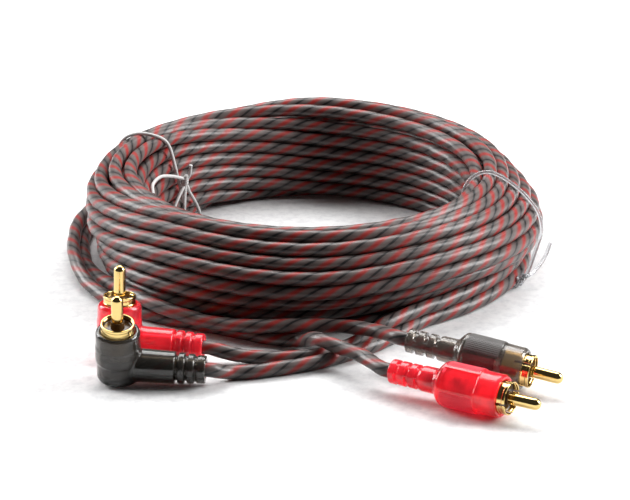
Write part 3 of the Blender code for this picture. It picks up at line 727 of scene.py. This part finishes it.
def lifted(route):
    """Middle line of a free stretch, from its route along the underside."""
    return np.array([(x, y, LEAD_RADIUS + lift) for x, y, lift in route])


def ring_points(spots):
    """Radius and height at each step of the winding, as points in space."""
    bearing = np.radians(FIRST_BEARING - TURN_DEGREES * np.arange(len(spots)))
    return np.stack([spots[:, 0] * np.cos(bearing), spots[:, 0] * np.sin(bearing), spots[:, 1]], axis=1)


def straight_inside(spec):
    """The lead inside a straight plug, from its mould out through the strain relief."""
    start = STRAIGHT_CAVITY_START - 0.15
    spots = [(0, 0, start * share) for share in (1, 0.66, 0.33, 0)] + [(0, 0, -3.0)]
    return seated(spots, straight_seat(spec))


def angle_inside(spec):
    """The lead inside a right-angle plug's arm, from the cavity outwards."""
    start = CAVITY_RADIUS + 0.3
    shares = (0, 0.33, 0.66, 1)
    spots = [(start + share * (ARM_LENGTH - start), 0, ARM_AXIS_HEIGHT) for share in shares]
    return seated(spots + [(ARM_LENGTH + 1.5, 0, ARM_AXIS_HEIGHT)], angle_seat(spec))


def lead_path(spots, straight, straight_route, angle, angle_route):
    """The whole lead: out of the straight plug, along the floor, through the ring and back out."""
    points = np.vstack([
        straight_inside(STRAIGHT_PLUGS[straight]),
        lifted(straight_route),
        ring_points(spots)[ENTRY_SKIP:len(spots) - EXIT_SKIP],
        lifted(angle_route)[::-1],
        angle_inside(ANGLE_PLUGS[angle])[::-1],
    ])
    return curve_through(points, LEAD_SPACING)


def add_lead(name, path, settings, material):
    """A tube whose radius falls and rises by the relief with the stripes' helix: minus the cosine of
    its angle, minus a smaller cosine of twice that angle."""
    along = np.concatenate([[0], np.cumsum(np.linalg.norm(np.diff(path, axis=0), axis=1))])
    marks = along * MM / settings.stripe_spacing
    angle = np.linspace(0, math.tau, LEAD_SIDES, endpoint=False)
    helix = math.tau * marks[:, None] - STRIPE_STARTS * angle[None]
    wave = -np.cos(helix) - 0.35 * np.cos(2 * helix)
    radius = settings.lead_diameter / 2 / MM + settings.relief / MM * wave
    return add_skin(name, tube_rings(path, radius, LEAD_SIDES), material, marks=marks, crease=60)


# Plugs


def angle_body_profile():
    """Head of the right-angle boot, with its belt a little proud of the rest."""
    wall, belt, lower = BOOT_RADIUS, BOOT_RADIUS + 0.16, BOOT_RADIUS - 0.15
    return rounded([
        (NEAR_AXIS, ANGLE_HEIGHT), (wall - 0.45, ANGLE_HEIGHT, 0.35), (wall, ANGLE_HEIGHT - 0.9, 0.3),
        (wall, 11.0, 0.12), (belt, 10.75, 0.12), (belt, 6.2, 0.12), (lower, 5.85, 0.12),
        (lower, 0.8, 0.5), (wall - 0.9, 0.0, 0.4), (NEAR_AXIS, 0.0),
    ])


def angle_arm_profile():
    """Smooth root, then three rings on a thinner core."""
    corners = [(NEAR_AXIS, ARM_LENGTH)]
    low = ARM_LENGTH
    for radius, width in ARM_RINGS:
        corners += [
            (radius, low, 0.35), (radius + 0.05, low - width, 0.3), (ARM_CORE, low - width, 0.12)
        ]
        low -= width + ARM_RING_GAP
        corners.append((ARM_CORE, low, 0.12))
    corners += [(ARM_ROOT[0], low, 0.4), (ARM_ROOT[1], 0.0, 0.1), (NEAR_AXIS, 0.0)]
    return rounded(corners)


def plug_form(radius, low, high):
    """Profile of a plain round tool from a low end to a high end."""
    return np.array([(NEAR_AXIS, high), (radius, high), (radius, low), (NEAR_AXIS, low)])


def flat_end(profile):
    """Turn a profile about X instead of Z, at the height of the arm."""
    rings = turned_rings(profile, ROUND_SIDES)
    return np.stack([rings[..., 2], rings[..., 1], rings[..., 0] + ARM_AXIS_HEIGHT], axis=-1)


def add_angle_boot(prefix, seat, material):
    """Head and arm joined, hollowed for the contacts and the lead, and rounded over as one skin."""
    boot = add_turned(prefix + "_boot_moulding", angle_body_profile(), ROUND_SIDES, seat, material)
    arm = add_skin("arm_form", seated(flat_end(angle_arm_profile()), seat), material)
    pocket = plug_form(CAVITY_RADIUS, ANGLE_FLOOR, POCKET_TOP)
    cavity = add_turned("cavity_form", pocket, ROUND_SIDES, seat, material)
    hole = plug_form(LEAD_BORE_RADIUS, 1.0, BORE_END)
    bore = add_skin("bore_form", seated(flat_end(hole), seat), material)
    carve(boot, arm, "UNION")
    carve(boot, cavity)
    carve(boot, bore)
    remesh = boot.modifiers.new("Remesh", "REMESH")
    remesh.mode = "VOXEL"
    remesh.voxel_size = VOXEL_SIZE * MM
    remesh.use_smooth_shade = True
    smooth = boot.modifiers.new("Smooth", "SMOOTH")
    smooth.factor = 0.5
    smooth.iterations = 3
    settle(boot)
    drop(arm, cavity, bore)
    boot.data.shade_smooth()
    return boot


def straight_outline(along):
    """Radius of the straight boot at each height above the end of its strain relief."""
    profile = rounded([
        (2.7, 0.0), (3.3, 0.35, 0.2), (3.3, 9.5, 0.15), (3.45, 9.9, 0.15), (3.5, 14.0, 0.3),
        (5.3, 15.4, 0.5), (6.0, 16.2, 0.3), (6.0, 27.0, 0.1), (5.8, 27.25, 0.1), (5.8, 32.5, 0.3),
        (5.35, 33.2),
    ])
    return np.interp(along, profile[:, 1], profile[:, 0])


def straight_boot_rings():
    """Outside of the straight boot and its bore as one closed run of rings. The outside radius is
    the turned one, less a shallow groove and two deep windows at each slot, and held to a flat at
    both sides of the grip."""
    relief = np.arange(0, 10, 0.13)
    neck = np.arange(10, 16, 0.3)
    grip = np.arange(16, 27.6, 0.155)
    front = np.arange(27.8, STRAIGHT_LENGTH + 0.01, 0.2)
    along = np.concatenate([relief, neck, grip, front])
    angle = np.linspace(0, math.tau, 240, endpoint=False)
    s, a = along[:, None], angle[None]
    radius = np.broadcast_to(straight_outline(along)[:, None], (len(along), len(angle))).copy()
    upright = np.abs(np.cos(a))
    window = np.clip((upright - 0.45) / 0.1, 0, 1)
    for middle in RELIEF_SLOTS:
        groove = np.clip((RELIEF_SLOT_HALF - np.abs(s - middle)) / 0.22, 0, 1)
        radius -= groove * (RELIEF_GROOVE_DEPTH + RELIEF_WINDOW_DEPTH * window)
    panel = np.clip((s - FLAT_START) / 0.5, 0, 1) * np.clip((FLAT_END - s) / 0.4, 0, 1)
    flat = FLAT_DISTANCE / np.maximum(np.abs(np.sin(a)), 0.2)
    radius -= panel * np.clip(radius - flat, 0, None)
    outside = np.stack([radius * np.cos(a), radius * np.sin(a), np.broadcast_to(s, radius.shape)], axis=-1)
    bore = np.array([
        (CAVITY_RADIUS, STRAIGHT_LENGTH), (CAVITY_RADIUS, STRAIGHT_CAVITY_START + 0.05),
        (CAVITY_RADIUS - 0.1, STRAIGHT_CAVITY_START), (LEAD_BORE_RADIUS, STRAIGHT_CAVITY_START),
        (LEAD_BORE_RADIUS, 0.0),
    ])
    return np.concatenate([outside, turned_rings(bore, len(angle))])


def grip_rings(side):
    """Knurled pad on one side of the grip: an arc whose radius is raised by the product of two
    sine waves that run across each other, closed by a plain arc inside it."""
    along = np.arange(GRIP_START, GRIP_END + 0.01, 0.1)[:, None]
    angle = np.radians(np.linspace(-GRIP_ANGLE, GRIP_ANGLE, 110))[None]
    around = angle * BOOT_RADIUS
    ends = np.minimum(along - GRIP_START, GRIP_END - along)
    sides = (np.radians(GRIP_ANGLE) - np.abs(angle)) * BOOT_RADIUS
    edge = np.clip(np.minimum(ends, sides) / 0.35, 0, 1)
    first = np.sin(math.tau * (along + around * 0.75) / GRIP_PITCH)
    second = np.sin(math.tau * (along - around * 0.75) / GRIP_PITCH)
    outer = BOOT_RADIUS - 0.02 + edge * (0.06 + GRIP_RELIEF * first * second)
    radius = np.concatenate([outer, np.full((len(along), 12), BOOT_RADIUS - 0.35)], axis=1)
    back = np.radians(np.linspace(GRIP_ANGLE, -GRIP_ANGLE, 12))[None]
    turned = np.concatenate([angle, back], axis=1)
    return np.stack([
        side * radius * np.cos(turned), side * radius * np.sin(turned),
        np.broadcast_to(along, radius.shape),
    ], axis=-1)


def pin_profile(front):
    """Round nose, shank and solder tail of the centre contact."""
    tip = front + SLEEVE_REACH + PIN_REACH
    angle = np.radians(np.linspace(89, 0, 12))
    nose = np.stack([PIN_RADIUS * np.cos(angle), tip - PIN_RADIUS + PIN_RADIUS * np.sin(angle)], axis=1)
    tail = rounded([
        (PIN_RADIUS, front + 4.0), (PIN_RADIUS, front - 5.2, 0.1), (0.9, front - 5.2, 0.1),
        (0.9, front - 10.2, 0.1), (NEAR_AXIS, front - 10.2),
    ])
    return np.vstack([nose, tail])


def sleeve_profile(front):
    """Thin turned cup with a rolled rim and a holed floor."""
    outer, inner = SLEEVE_RADIUS, SLEEVE_RADIUS - SLEEVE_WALL
    rim, foot = front + SLEEVE_REACH, front + SLEEVE_START
    corners = [
        (inner + 0.1, rim - 0.6), (inner + 0.02, rim, 0.16), (outer, rim, 0.2), (outer, rim - 0.75, 0.08),
        (outer - 0.12, rim - 0.9, 0.08), (outer - 0.12, front + 0.4, 0.08), (outer, front + 0.2, 0.08),
        (outer, foot, 0.15), (2.2, foot, 0.1), (2.2, foot + 0.5, 0.1), (inner, foot + 0.5, 0.1),
        (inner, rim - 0.7),
    ]
    return rounded(corners)


def insulator_profile(front, boss):
    """Brown disc with a short neck round the pin."""
    outer, bore = SLEEVE_RADIUS - SLEEVE_WALL - 0.04, PIN_RADIUS + 0.02
    high, low = front + SLEEVE_REACH - INSULATOR_DEPTH, front + SLEEVE_START + 0.8
    return rounded([
        (bore, low + 0.4), (bore, high + boss, 0.05), (bore + 0.14, high + boss, 0.05),
        (bore + 0.2, high, 0.12), (outer - 0.35, high - 0.12, 0.1), (outer - 0.1, high + 0.1, 0.08),
        (outer, high - 0.2, 0.08), (outer, low, 0.1), (bore, low, 0.1), (bore, low + 0.3),
    ])


def slot_box(front):
    """Corners of the box that cuts one slot right across a sleeve."""
    outline = ((-0.35, -6), (0.35, -6), (0.35, 6), (-0.35, 6))
    rim = front + SLEEVE_REACH
    return np.array([[(x, y, z) for x, y in outline] for z in (rim - SLEEVE_SLOT, rim + 1)])


def add_contacts(prefix, seat, front, finishes, boss, slots=(45, 135)):
    """Pin, sleeve and disc of one plug, whose boot ends at the front."""
    gold, brown = finishes["gold"], finishes["brown"]
    pin = add_turned(prefix + "_centre_pin", pin_profile(front), 48, seat, gold)
    sleeve = add_turned(
        prefix + "_ground_sleeve", sleeve_profile(front), ROUND_SIDES, seat, gold, closed=True
    )
    insulator = add_turned(
        prefix + "_insulator_disc", insulator_profile(front, boss), 64, seat, brown, closed=True
    )
    cutters = []
    for angle in slots:
        cutter = add_skin("slot_form", seated(slot_box(front) @ turn(2, angle).T, seat), gold)
        carve(sleeve, cutter)
        cutters.append(cutter)
    settle(sleeve)
    drop(*cutters)
    dress(pin, "gold_plate", prefix + "_pin")
    dress(sleeve, "gold_plate", prefix + "_sleeve")
    dress(insulator, "insulator_brown", prefix + "_insulator")
    return [pin, sleeve, insulator]


def finish_hidden(prefix, finishes):
    """The ferrule and the inner moulding keep their solids and get a better finish."""
    kept = []
    natural = "natural_red" if prefix.startswith("red") else "natural"
    for suffix, finish in (("_collar", "steel"), ("_inner_mould", natural)):
        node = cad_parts[prefix + suffix]
        for material_slot in node.material_slots:
            material_slot.material = finishes[finish]
        kept.append(node)
    return kept


# Ties


def spots_at(table, bearing):
    """Radius and height of every wound strand at a bearing."""
    column = int(round(((FIRST_BEARING - bearing) % 360) / TURN_DEGREES)) % TURN_STEPS
    spots = table.reshape(-1, TURN_STEPS, 2)[:, column]
    return spots[~np.isnan(spots[:, 0])]


def wrap(table, directions, bearings, offset):
    """Run of a tie round the strands: for each direction seen along the bundle, the strand that
    lies furthest that way, moved out by the offset, at the bearing given for that direction."""
    run = []
    for direction, bearing in zip(np.radians(directions), bearings):
        way = np.array([math.cos(direction), math.sin(direction)])
        spots = spots_at(table, bearing)
        radius, height = spots[(spots @ way).argmax()] + way * offset
        run.append(polar(radius, bearing, max(height, TIE_LOWEST)))
    return blur(even_spacing(np.array(run), 1.0), TIE_BLUR)


def polar(radius, bearing, height):
    """Point in space at a bearing, a radius and a height."""
    c, s = math.cos(math.radians(bearing)), math.sin(math.radians(bearing))
    return (radius * c, radius * s, height)


def add_run(name, points, radius, material):
    """Round rod through the points."""
    return add_skin(name, tube_rings(curve_through(points, 0.45), radius, 14), material, crease=70)


def twist_of(start, end, radius, phase=0.0):
    """Helix of two turns about the line from start to end."""
    share = np.linspace(0, 1, 21)
    angle = math.tau * 2 * share + phase
    swing = np.stack([np.cos(angle), np.sin(angle), 0 * angle], axis=1) * radius
    return np.array(start) + share[:, None] * (np.array(end) - np.array(start)) + swing


def colour_setting(name, description, default):
    """A colour that the panel shows."""
    return FloatVectorProperty(
        name=name, description=description, default=default, subtype="COLOR", min=0.0, max=1.0
    )


def setting(name, description, default, low, high, unit="NONE"):
    """A number that the panel shows, between a low and a high end."""
    return FloatProperty(
        name=name, description=description, default=default, min=low, max=high, unit=unit
    )


class LEAD_PG_jacket(bpy.types.PropertyGroup):
    lead_diameter: setting("Lead diameter", "Outside diameter of each lead", 0.0039, 0.002, 0.008, "LENGTH")
    stripe_spacing: setting(
        "Stripe spacing", "Distance from one red stripe to the next", 0.0098, 0.004, 0.03, "LENGTH")
    relief: setting(
        "Relief", "How far the twisted cores show through the jacket", 0.00006, 0.0, 0.0003, "LENGTH")
    jacket_colour: colour_setting("Jacket", "Smoke-grey jacket", (0.20, 0.160, 0.150))
    jacket_dark: colour_setting("Jacket, dark", "Darker patches of the jacket", (0.11, 0.087, 0.082))
    tracer_colour: colour_setting("Stripe", "Red stripe", (0.47, 0.032, 0.026))
    tracer_dark: colour_setting("Stripe, dark", "Darker parts of the stripe", (0.27, 0.018, 0.015))
    groove_colour: colour_setting("Groove", "Thin dark line between the cores", (0.012, 0.011, 0.012))


class LEAD_PG_plugs(bpy.types.PropertyGroup):
    smoke: colour_setting("Smoke boot", "Clear part of the dark right-angle boot", (0.42, 0.39, 0.35))
    pale_smoke: colour_setting("Pale smoke boot", "Clear part of the grey straight boot", (0.52, 0.48, 0.44))
    red: colour_setting("Red boot", "Clear part of the red boots", (1.0, 0.085, 0.12))
    grip_smoke: colour_setting("Smoke grip", "Knurled pads of the grey straight boot", (0.20, 0.185, 0.18))
    grip_red: colour_setting("Red grip", "Knurled pads of the red straight boot", (0.95, 0.05, 0.09))
    gold: colour_setting("Gold", "Plating of the contacts", (0.88, 0.64, 0.25))
    brown: colour_setting("Insulator", "Disc round the pin", (0.10, 0.05, 0.02))


class LEAD_PG_ties(bpy.types.PropertyGroup):
    wire_diameter: setting("Wire tie", "Thickness of the white tie", 0.00105, 0.0004, 0.003, "LENGTH")
    clear_diameter: setting("Clear tie", "Thickness of the clear tie", 0.0011, 0.0004, 0.003, "LENGTH")
    white: colour_setting("White", "Coating of the wire tie", (0.80, 0.79, 0.78))


class LEAD_PG_stage(bpy.types.PropertyGroup):
    camera_distance: setting(
        "Camera distance", "From the camera to the ring's middle", 0.8, 0.2, 5.0, "LENGTH")
    camera_rise: FloatProperty(
        name="Camera rise", description="Angle of the camera above the floor", default=math.radians(20.7),
        min=0.0, max=1.5, subtype="ANGLE")
    lens: setting("Lens", "Focal length in millimetres on a 36 mm sensor", 151.3, 20.0, 400.0)
    key_power: setting("Top lamp", "Power of the large lamp above", 10.5, 0.0, 100.0, "POWER")
    side_power: setting("Side lamps", "Power of each lamp at the side", 8.0, 0.0, 100.0, "POWER")
    floor_shade: setting("Floor", "How light the floor is", 0.95, 0.0, 1.0)


FINISH_NAMES = {
    "jacket": "jacket_striped", "smoke": "boot_dark_smoke", "pale": "boot_pale_smoke",
    "red": "boot_clear_red", "pale_grip": "grip_frosted_smoke", "red_grip": "grip_frosted_red",
    "gold": "gold_plating", "brown": "insulator_glossy", "steel": "ferrule_plated",
    "natural": "inner_natural", "natural_red": "inner_natural_red", "white": "tie_coated_white",
    "clear": "tie_clear_plastic",
}


def make_finishes():
    """Every finish of the piece, under the names above. A boot's soak is the colour that is left of
    light on its way through and how fast it gets there."""
    scene = bpy.context.scene
    plugs = scene.lead_plugs
    jacket_finish(scene.lead_jacket)
    boot_finish("boot_dark_smoke", plugs.smoke, (0.7, 0.7, 0.7), (0.40, 0.36, 0.30, 850), 0.9, 0.16)
    boot_finish("boot_pale_smoke", plugs.pale_smoke, (0.8, 0.8, 0.8), (0.50, 0.44, 0.38, 260), 0.88, 0.16)
    # The red boots carry a painted glow, emission that is painted light from inside them
    boot_finish("boot_clear_red", plugs.red, (0.62, 0.9, 0.9), (0.99, 0.08, 0.13, 240), 0.72, 0.15, 0.45)
    plain_finish("grip_frosted_smoke", plugs.grip_smoke, 0.38, transmission=0.35)
    # The red grip carries a painted glow, emission that is painted light
    plain_finish("grip_frosted_red", plugs.grip_red, 0.34, transmission=0.3, painted_glow=0.22)
    metal_finish("gold_plating", plugs.gold, 0.12)
    plain_finish("insulator_glossy", plugs.brown, 0.22)
    metal_finish("ferrule_plated", (0.72, 0.70, 0.64), 0.3)
    plain_finish("inner_natural", (0.10, 0.07, 0.06), 0.4)
    plain_finish("inner_natural_red", (0.85, 0.20, 0.17), 0.4)
    plain_finish("tie_coated_white", scene.lead_ties.white, 0.4)
    plain_finish("tie_clear_plastic", (0.92, 0.93, 0.95), 0.1, transmission=0.75)


def finish_set():
    """All finishes by their short names, made at the first call."""
    if FINISH_NAMES["jacket"] not in bpy.data.materials:
        make_finishes()
    return {short: bpy.data.materials[name] for short, name in FINISH_NAMES.items()}


# What the operators have built so far, for those that come after them
BUILT = {}


class LEAD_OT_angle_plugs(bpy.types.Operator):
    """Both right-angle plugs: boots with ribbed arms, pins, sleeves and discs"""

    bl_idname = "lead.angle_plugs"
    bl_label = "Right-angle plugs"

    def execute(self, context):
        finishes = finish_set()
        for prefix, colour, boss in (("black_angle", "smoke", 2.1), ("red_angle", "red", 1.1)):
            seat = angle_seat(ANGLE_PLUGS[prefix])
            boot = add_angle_boot(prefix, seat, finishes[colour])
            dress(boot, BOOT_SLOTS[prefix], prefix + "_boot")
            BUILT[prefix] = [boot] + add_contacts(prefix, seat, ANGLE_HEIGHT, finishes, boss, ())
            BUILT[prefix] += finish_hidden(prefix, finishes)
        return {"FINISHED"}


class LEAD_OT_straight_plugs(bpy.types.Operator):
    """Both straight plugs: boots with slotted strain relief and a grip, pins, sleeves and discs"""

    bl_idname = "lead.straight_plugs"
    bl_label = "Straight plugs"

    def execute(self, context):
        finishes = finish_set()
        for prefix, colour in (("grey_straight", "pale"), ("red_straight", "red")):
            seat = straight_seat(STRAIGHT_PLUGS[prefix])
            boot = add_skin(
                prefix + "_boot_moulding", seated(straight_boot_rings(), seat), finishes[colour],
                closed=True, crease=50,
            )
            slot = BOOT_SLOTS[prefix]
            dress(boot, slot, prefix + "_boot")
            BUILT[prefix] = [boot] + add_contacts(prefix, seat, STRAIGHT_LENGTH, finishes, 1.0)
            for name, side in (("upper", -1), ("lower", 1)):
                grip = add_skin(
                    f"{prefix}_grip_{name}", seated(grip_rings(side), seat), finishes[colour + "_grip"],
                    crease=60,
                )
                BUILT[prefix].append(dress(grip, slot, prefix + "_boot"))
            BUILT[prefix] += finish_hidden(prefix, finishes)
        return {"FINISHED"}


class LEAD_OT_leads(bpy.types.Operator):
    """Both leads, each one tube from plug to plug through every turn of the ring"""

    bl_idname = "lead.leads"
    bl_label = "Leads"

    def execute(self, context):
        jacket = context.scene.lead_jacket
        finishes = finish_set()
        layouts, table = push_apart(first_layout())
        BUILT["table"] = table
        runs = (
            ("grey_lead_striped", "grey_straight", GREY_STRAIGHT_ROUTE, "black_angle", BLACK_ANGLE_ROUTE),
            ("red_lead_striped", "red_straight", RED_STRAIGHT_ROUTE, "red_angle", RED_ANGLE_ROUTE),
        )
        for spots, (name, straight, straight_route, angle, angle_route) in zip(layouts, runs):
            path = lead_path(spots, straight, straight_route, angle, angle_route)
            lead = add_lead(name, path, jacket, finishes["jacket"])
            dress(lead, "jacket_smoke", straight + "_lead", angle + "_lead", "cable_coil")
            length = np.linalg.norm(np.diff(path, axis=0), axis=1).sum() * MM
            print(f"{name}: {length:.3f} m")
            way_out = place(seated([(0, 0, 0)], straight_seat(STRAIGHT_PLUGS[straight])))[0]
        return {"FINISHED"}


class LEAD_OT_ties(bpy.types.Operator):
    """White wire tie with its twist at the left, clear tie with its knot at the right"""

    bl_idname = "lead.ties"
    bl_label = "Ties"

    def execute(self, context):
        ties = context.scene.lead_ties
        finishes = finish_set()
        table = BUILT["table"]
        self.add_wire_tie(table, ties.wire_diameter / 2 / MM, finishes["white"])
        self.add_clear_tie(table, ties.clear_diameter / 2 / MM, finishes["clear"])
        return {"FINISHED"}

    def add_wire_tie(self, table, thick, finish):
        """A loop round the bundle, closed by a twist, with a loose second loop and two ends."""
        ways = np.arange(168, -169, -6.0)
        bearings = np.interp(ways, (-168, -90, 0, 90, 168), (147, 150, 151, 152, 147))
        loop = wrap(table, ways, bearings, LEAD_RADIUS + thick + 0.45)
        low, high = (-39.4, 26.7, 13.6), (-39.2, 26.6, 16.8)
        runs = {
            "wire_tie_loop": np.vstack([[high], loop, [low]]),
            "wire_tie_second_loop": [
                (-52.0, 24.0, 0.6), (-45.2, 19.8, 1.4), (-43.4, 20.2, 5.0), (-42.2, 22.4, 9.0), low,
                (-38.2, 27.6, 11.0), (-36.2, 30.2, 6.0), (-35.6, 31.6, 2.0), (-41.0, 38.0, 0.6),
            ],
            "wire_tie_ends": [
                (-48.2, 6.8, 17.6), (-48.4, 10.6, 19.4), (-46.4, 16.4, 19.8), (-43.2, 22.2, 18.0),
                (-40.4, 25.6, 16.2), (-38.9, 26.6, 15.6), (-38.0, 26.6, 17.2), (-37.5, 26.4, 20.2),
            ],
            "wire_tie_twist_one": twist_of(low, high, TWIST_RADIUS),
            "wire_tie_twist_two": twist_of(low, high, TWIST_RADIUS, math.pi),
        }
        for name, points in runs.items():
            dress(add_run(name, points, thick, finish), "tie_white", "wire_tie")

    def add_clear_tie(self, table, thick, finish):
        """A loop round the bundle with a knot and one long end."""
        ways = np.arange(-50, -405, -6.0)
        stops = (-405, -360, -270, -180, -90, -50)
        bearings = np.interp(ways, stops, (-24, -15, -8, -11, -22, -24))
        loop = wrap(table, ways, bearings, LEAD_RADIUS + thick + 0.5)
        knot = np.array(KNOT_SPOT)
        runs = {
            "clear_tie_loop": np.vstack([[knot - (0.8, 0.6, 0.9)], loop, [knot + (0.5, 0.6, 0.6)]]),
            "clear_tie_knot": twist_of(knot - (0.9, -0.5, 0.5), knot + (1.2, 0.8, 0.6), KNOT_RADIUS),
            "clear_tie_end": [
                knot, knot + (2.6, 2.2, 0.3), knot + (5.2, 5.4, 1.6), knot + (7.4, 8.6, 3.8),
                knot + (8.8, 11.0, 6.6),
            ],
        }
        for name, points in runs.items():
            dress(add_run(name, points, thick, finish), "tie_clear", "clear_tie")


class LEAD_OT_stage(bpy.types.Operator):
    """Pale floor, soft lamps and the camera"""

    bl_idname = "lead.stage"
    bl_label = "Stage"

    def execute(self, context):
        stage = context.scene.lead_stage
        add_camera(stage)
        add_floor(stage)
        add_lamps(stage)
        set_world()
        return {"FINISHED"}


def aim(position, target):
    """Turn that points an object's -Z from its position to a target, with its Y up."""
    back = unit(np.asarray(position, float) - np.asarray(target, float))
    right = unit(np.cross((0.0, 0.0, 1.0), back))
    up = np.cross(back, right)
    return np.stack([right, up, back], axis=1)


def put(made, position, target):
    """Link a camera or lamp at a position, facing a target."""
    matrix = np.eye(4)
    matrix[:3, :3] = aim(position, target)
    matrix[:3, 3] = position
    made.matrix_world = Matrix(matrix.tolist())
    bpy.context.scene.collection.objects.link(made)
    return made


def add_camera(stage):
    """The ring's middle shows 2.5 pixels left of and 6.5 pixels below the middle of the picture."""
    data = bpy.data.cameras.new("photo_camera")
    data.lens = stage.lens
    data.sensor_width = SENSOR_WIDTH
    data.clip_start = 0.01
    data.clip_end = 50.0
    camera = bpy.data.objects.new("photo_camera", data)
    rise = stage.camera_rise
    spot = RING_CENTRE + stage.camera_distance * np.array([0.0, -math.cos(rise), math.sin(rise)])
    pixel = 1 / (stage.lens / SENSOR_WIDTH * PICTURE_WIDTH)
    tilt, swing = rise - math.atan(PIXELS_BELOW * pixel), math.atan(PIXELS_LEFT * pixel)
    ahead = np.array([
        math.sin(swing), math.cos(tilt) * math.cos(swing), -math.sin(tilt)
    ])
    put(camera, spot, spot + ahead)
    bpy.context.scene.camera = camera


def add_floor(stage):
    """Pale floor with a faint grain. It throws only a little light back, so that undersides stay dark."""
    material, tree, shader = new_finish("stage_floor")
    set_inputs(shader, Roughness=0.9, Specular_IOR_Level=0.1)
    rays = wire(tree, "ShaderNodeLightPath").node.outputs
    seen = reckon(tree, "MAXIMUM", rays["Is Camera Ray"], rays["Is Glossy Ray"])
    seen = reckon(tree, "MAXIMUM", seen, rays["Is Transmission Ray"])
    fibre = step_between(tree, speckle(tree, 330.0, 5.0, 0.7), 0.3, 0.62)
    pale = stage.floor_shade
    light = blend_colour(tree, fibre, (pale * 0.84, pale * 0.84, pale * 0.85, 1), (pale, pale, pale, 1))
    colour = blend_colour(tree, seen, rgba([FLOOR_BOUNCE] * 3), light)
    tree.links.new(colour, shader.inputs["Base Color"])
    mesh = bpy.data.meshes.new("stage_floor")
    corners = [(x * FLOOR_HALF, y * FLOOR_HALF, 0) for x, y in ((-1, -1), (1, -1), (1, 1), (-1, 1))]
    mesh.from_pydata(corners, [], [(0, 1, 2, 3)])
    mesh.materials.append(material)
    floor = bpy.data.objects.new("stage_floor", mesh)
    bpy.context.scene.collection.objects.link(floor)


def add_lamps(stage):
    """One large lamp above and behind, one small one at each side."""
    lamps = (
        ("top_lamp", (0.0, 0.52, 0.86), (1.0, 0.6), stage.key_power),
        ("left_lamp", (-0.75, 0.32, 0.4), (0.4, 0.6), stage.side_power),
        ("right_lamp", (0.75, 0.0, 0.42), (0.4, 0.6), stage.side_power * RIGHT_LAMP_SHARE),
    )
    for name, spot, size, power in lamps:
        data = bpy.data.lights.new(name, "AREA")
        data.shape = "RECTANGLE"
        data.size, data.size_y = size
        data.energy = power
        put(bpy.data.objects.new(name, data), np.array(spot) + RING_CENTRE, RING_CENTRE)


def set_world():
    """White surroundings for the camera and through clear plastic, nearly dark for all other light."""
    scene = bpy.context.scene
    world = bpy.data.worlds.new("stage_world")
    world.use_nodes = True
    tree = world.node_tree
    background = tree.nodes["Background"]
    rays = wire(tree, "ShaderNodeLightPath").node.outputs
    seen = reckon(tree, "MAXIMUM", rays["Is Camera Ray"], rays["Is Transmission Ray"])
    strength = step_between(tree, seen, 0.0, 1.0, AMBIENT_STRENGTH, 1.0)
    background.inputs["Color"].default_value = (1, 1, 1, 1)
    tree.links.new(strength, background.inputs["Strength"])
    scene.world = world
    scene.view_settings.view_transform = "Standard"


class LEAD_PT_panel(bpy.types.Panel):
    """Lists the builders of the lead in the sidebar"""

    bl_idname = "LEAD_PT_panel"
    bl_label = "Phono lead"
    bl_space_type = "VIEW_3D"
    bl_region_type = "UI"
    bl_category = "Phono lead"

    def draw(self, context):
        for operator in OPERATORS:
            self.layout.operator(operator.bl_idname)
        for group in ("lead_jacket", "lead_plugs", "lead_ties", "lead_stage"):
            settings = getattr(context.scene, group)
            box = self.layout.box()
            for name in settings.bl_rna.properties.keys():
                if name not in ("rna_type", "name"):
                    box.prop(settings, name)


OPERATORS = (
    LEAD_OT_stage, LEAD_OT_angle_plugs, LEAD_OT_straight_plugs, LEAD_OT_leads, LEAD_OT_ties,
)
GROUPS = {
    "lead_jacket": LEAD_PG_jacket, "lead_plugs": LEAD_PG_plugs, "lead_ties": LEAD_PG_ties,
    "lead_stage": LEAD_PG_stage,
}


def register():
    for made in (*GROUPS.values(), *OPERATORS, LEAD_PT_panel):
        bpy.utils.register_class(made)
    for name, group in GROUPS.items():
        setattr(bpy.types.Scene, name, PointerProperty(type=group))


def unregister():
    for name in GROUPS:
        delattr(bpy.types.Scene, name)
    for made in reversed((*GROUPS.values(), *OPERATORS, LEAD_PT_panel)):
        bpy.utils.unregister_class(made)


def main():
    register()
    bpy.ops.lead.stage()
    bpy.ops.lead.angle_plugs()
    bpy.ops.lead.straight_plugs()
    bpy.ops.lead.leads()
    bpy.ops.lead.ties()


if __name__ == "__main__":
    main()
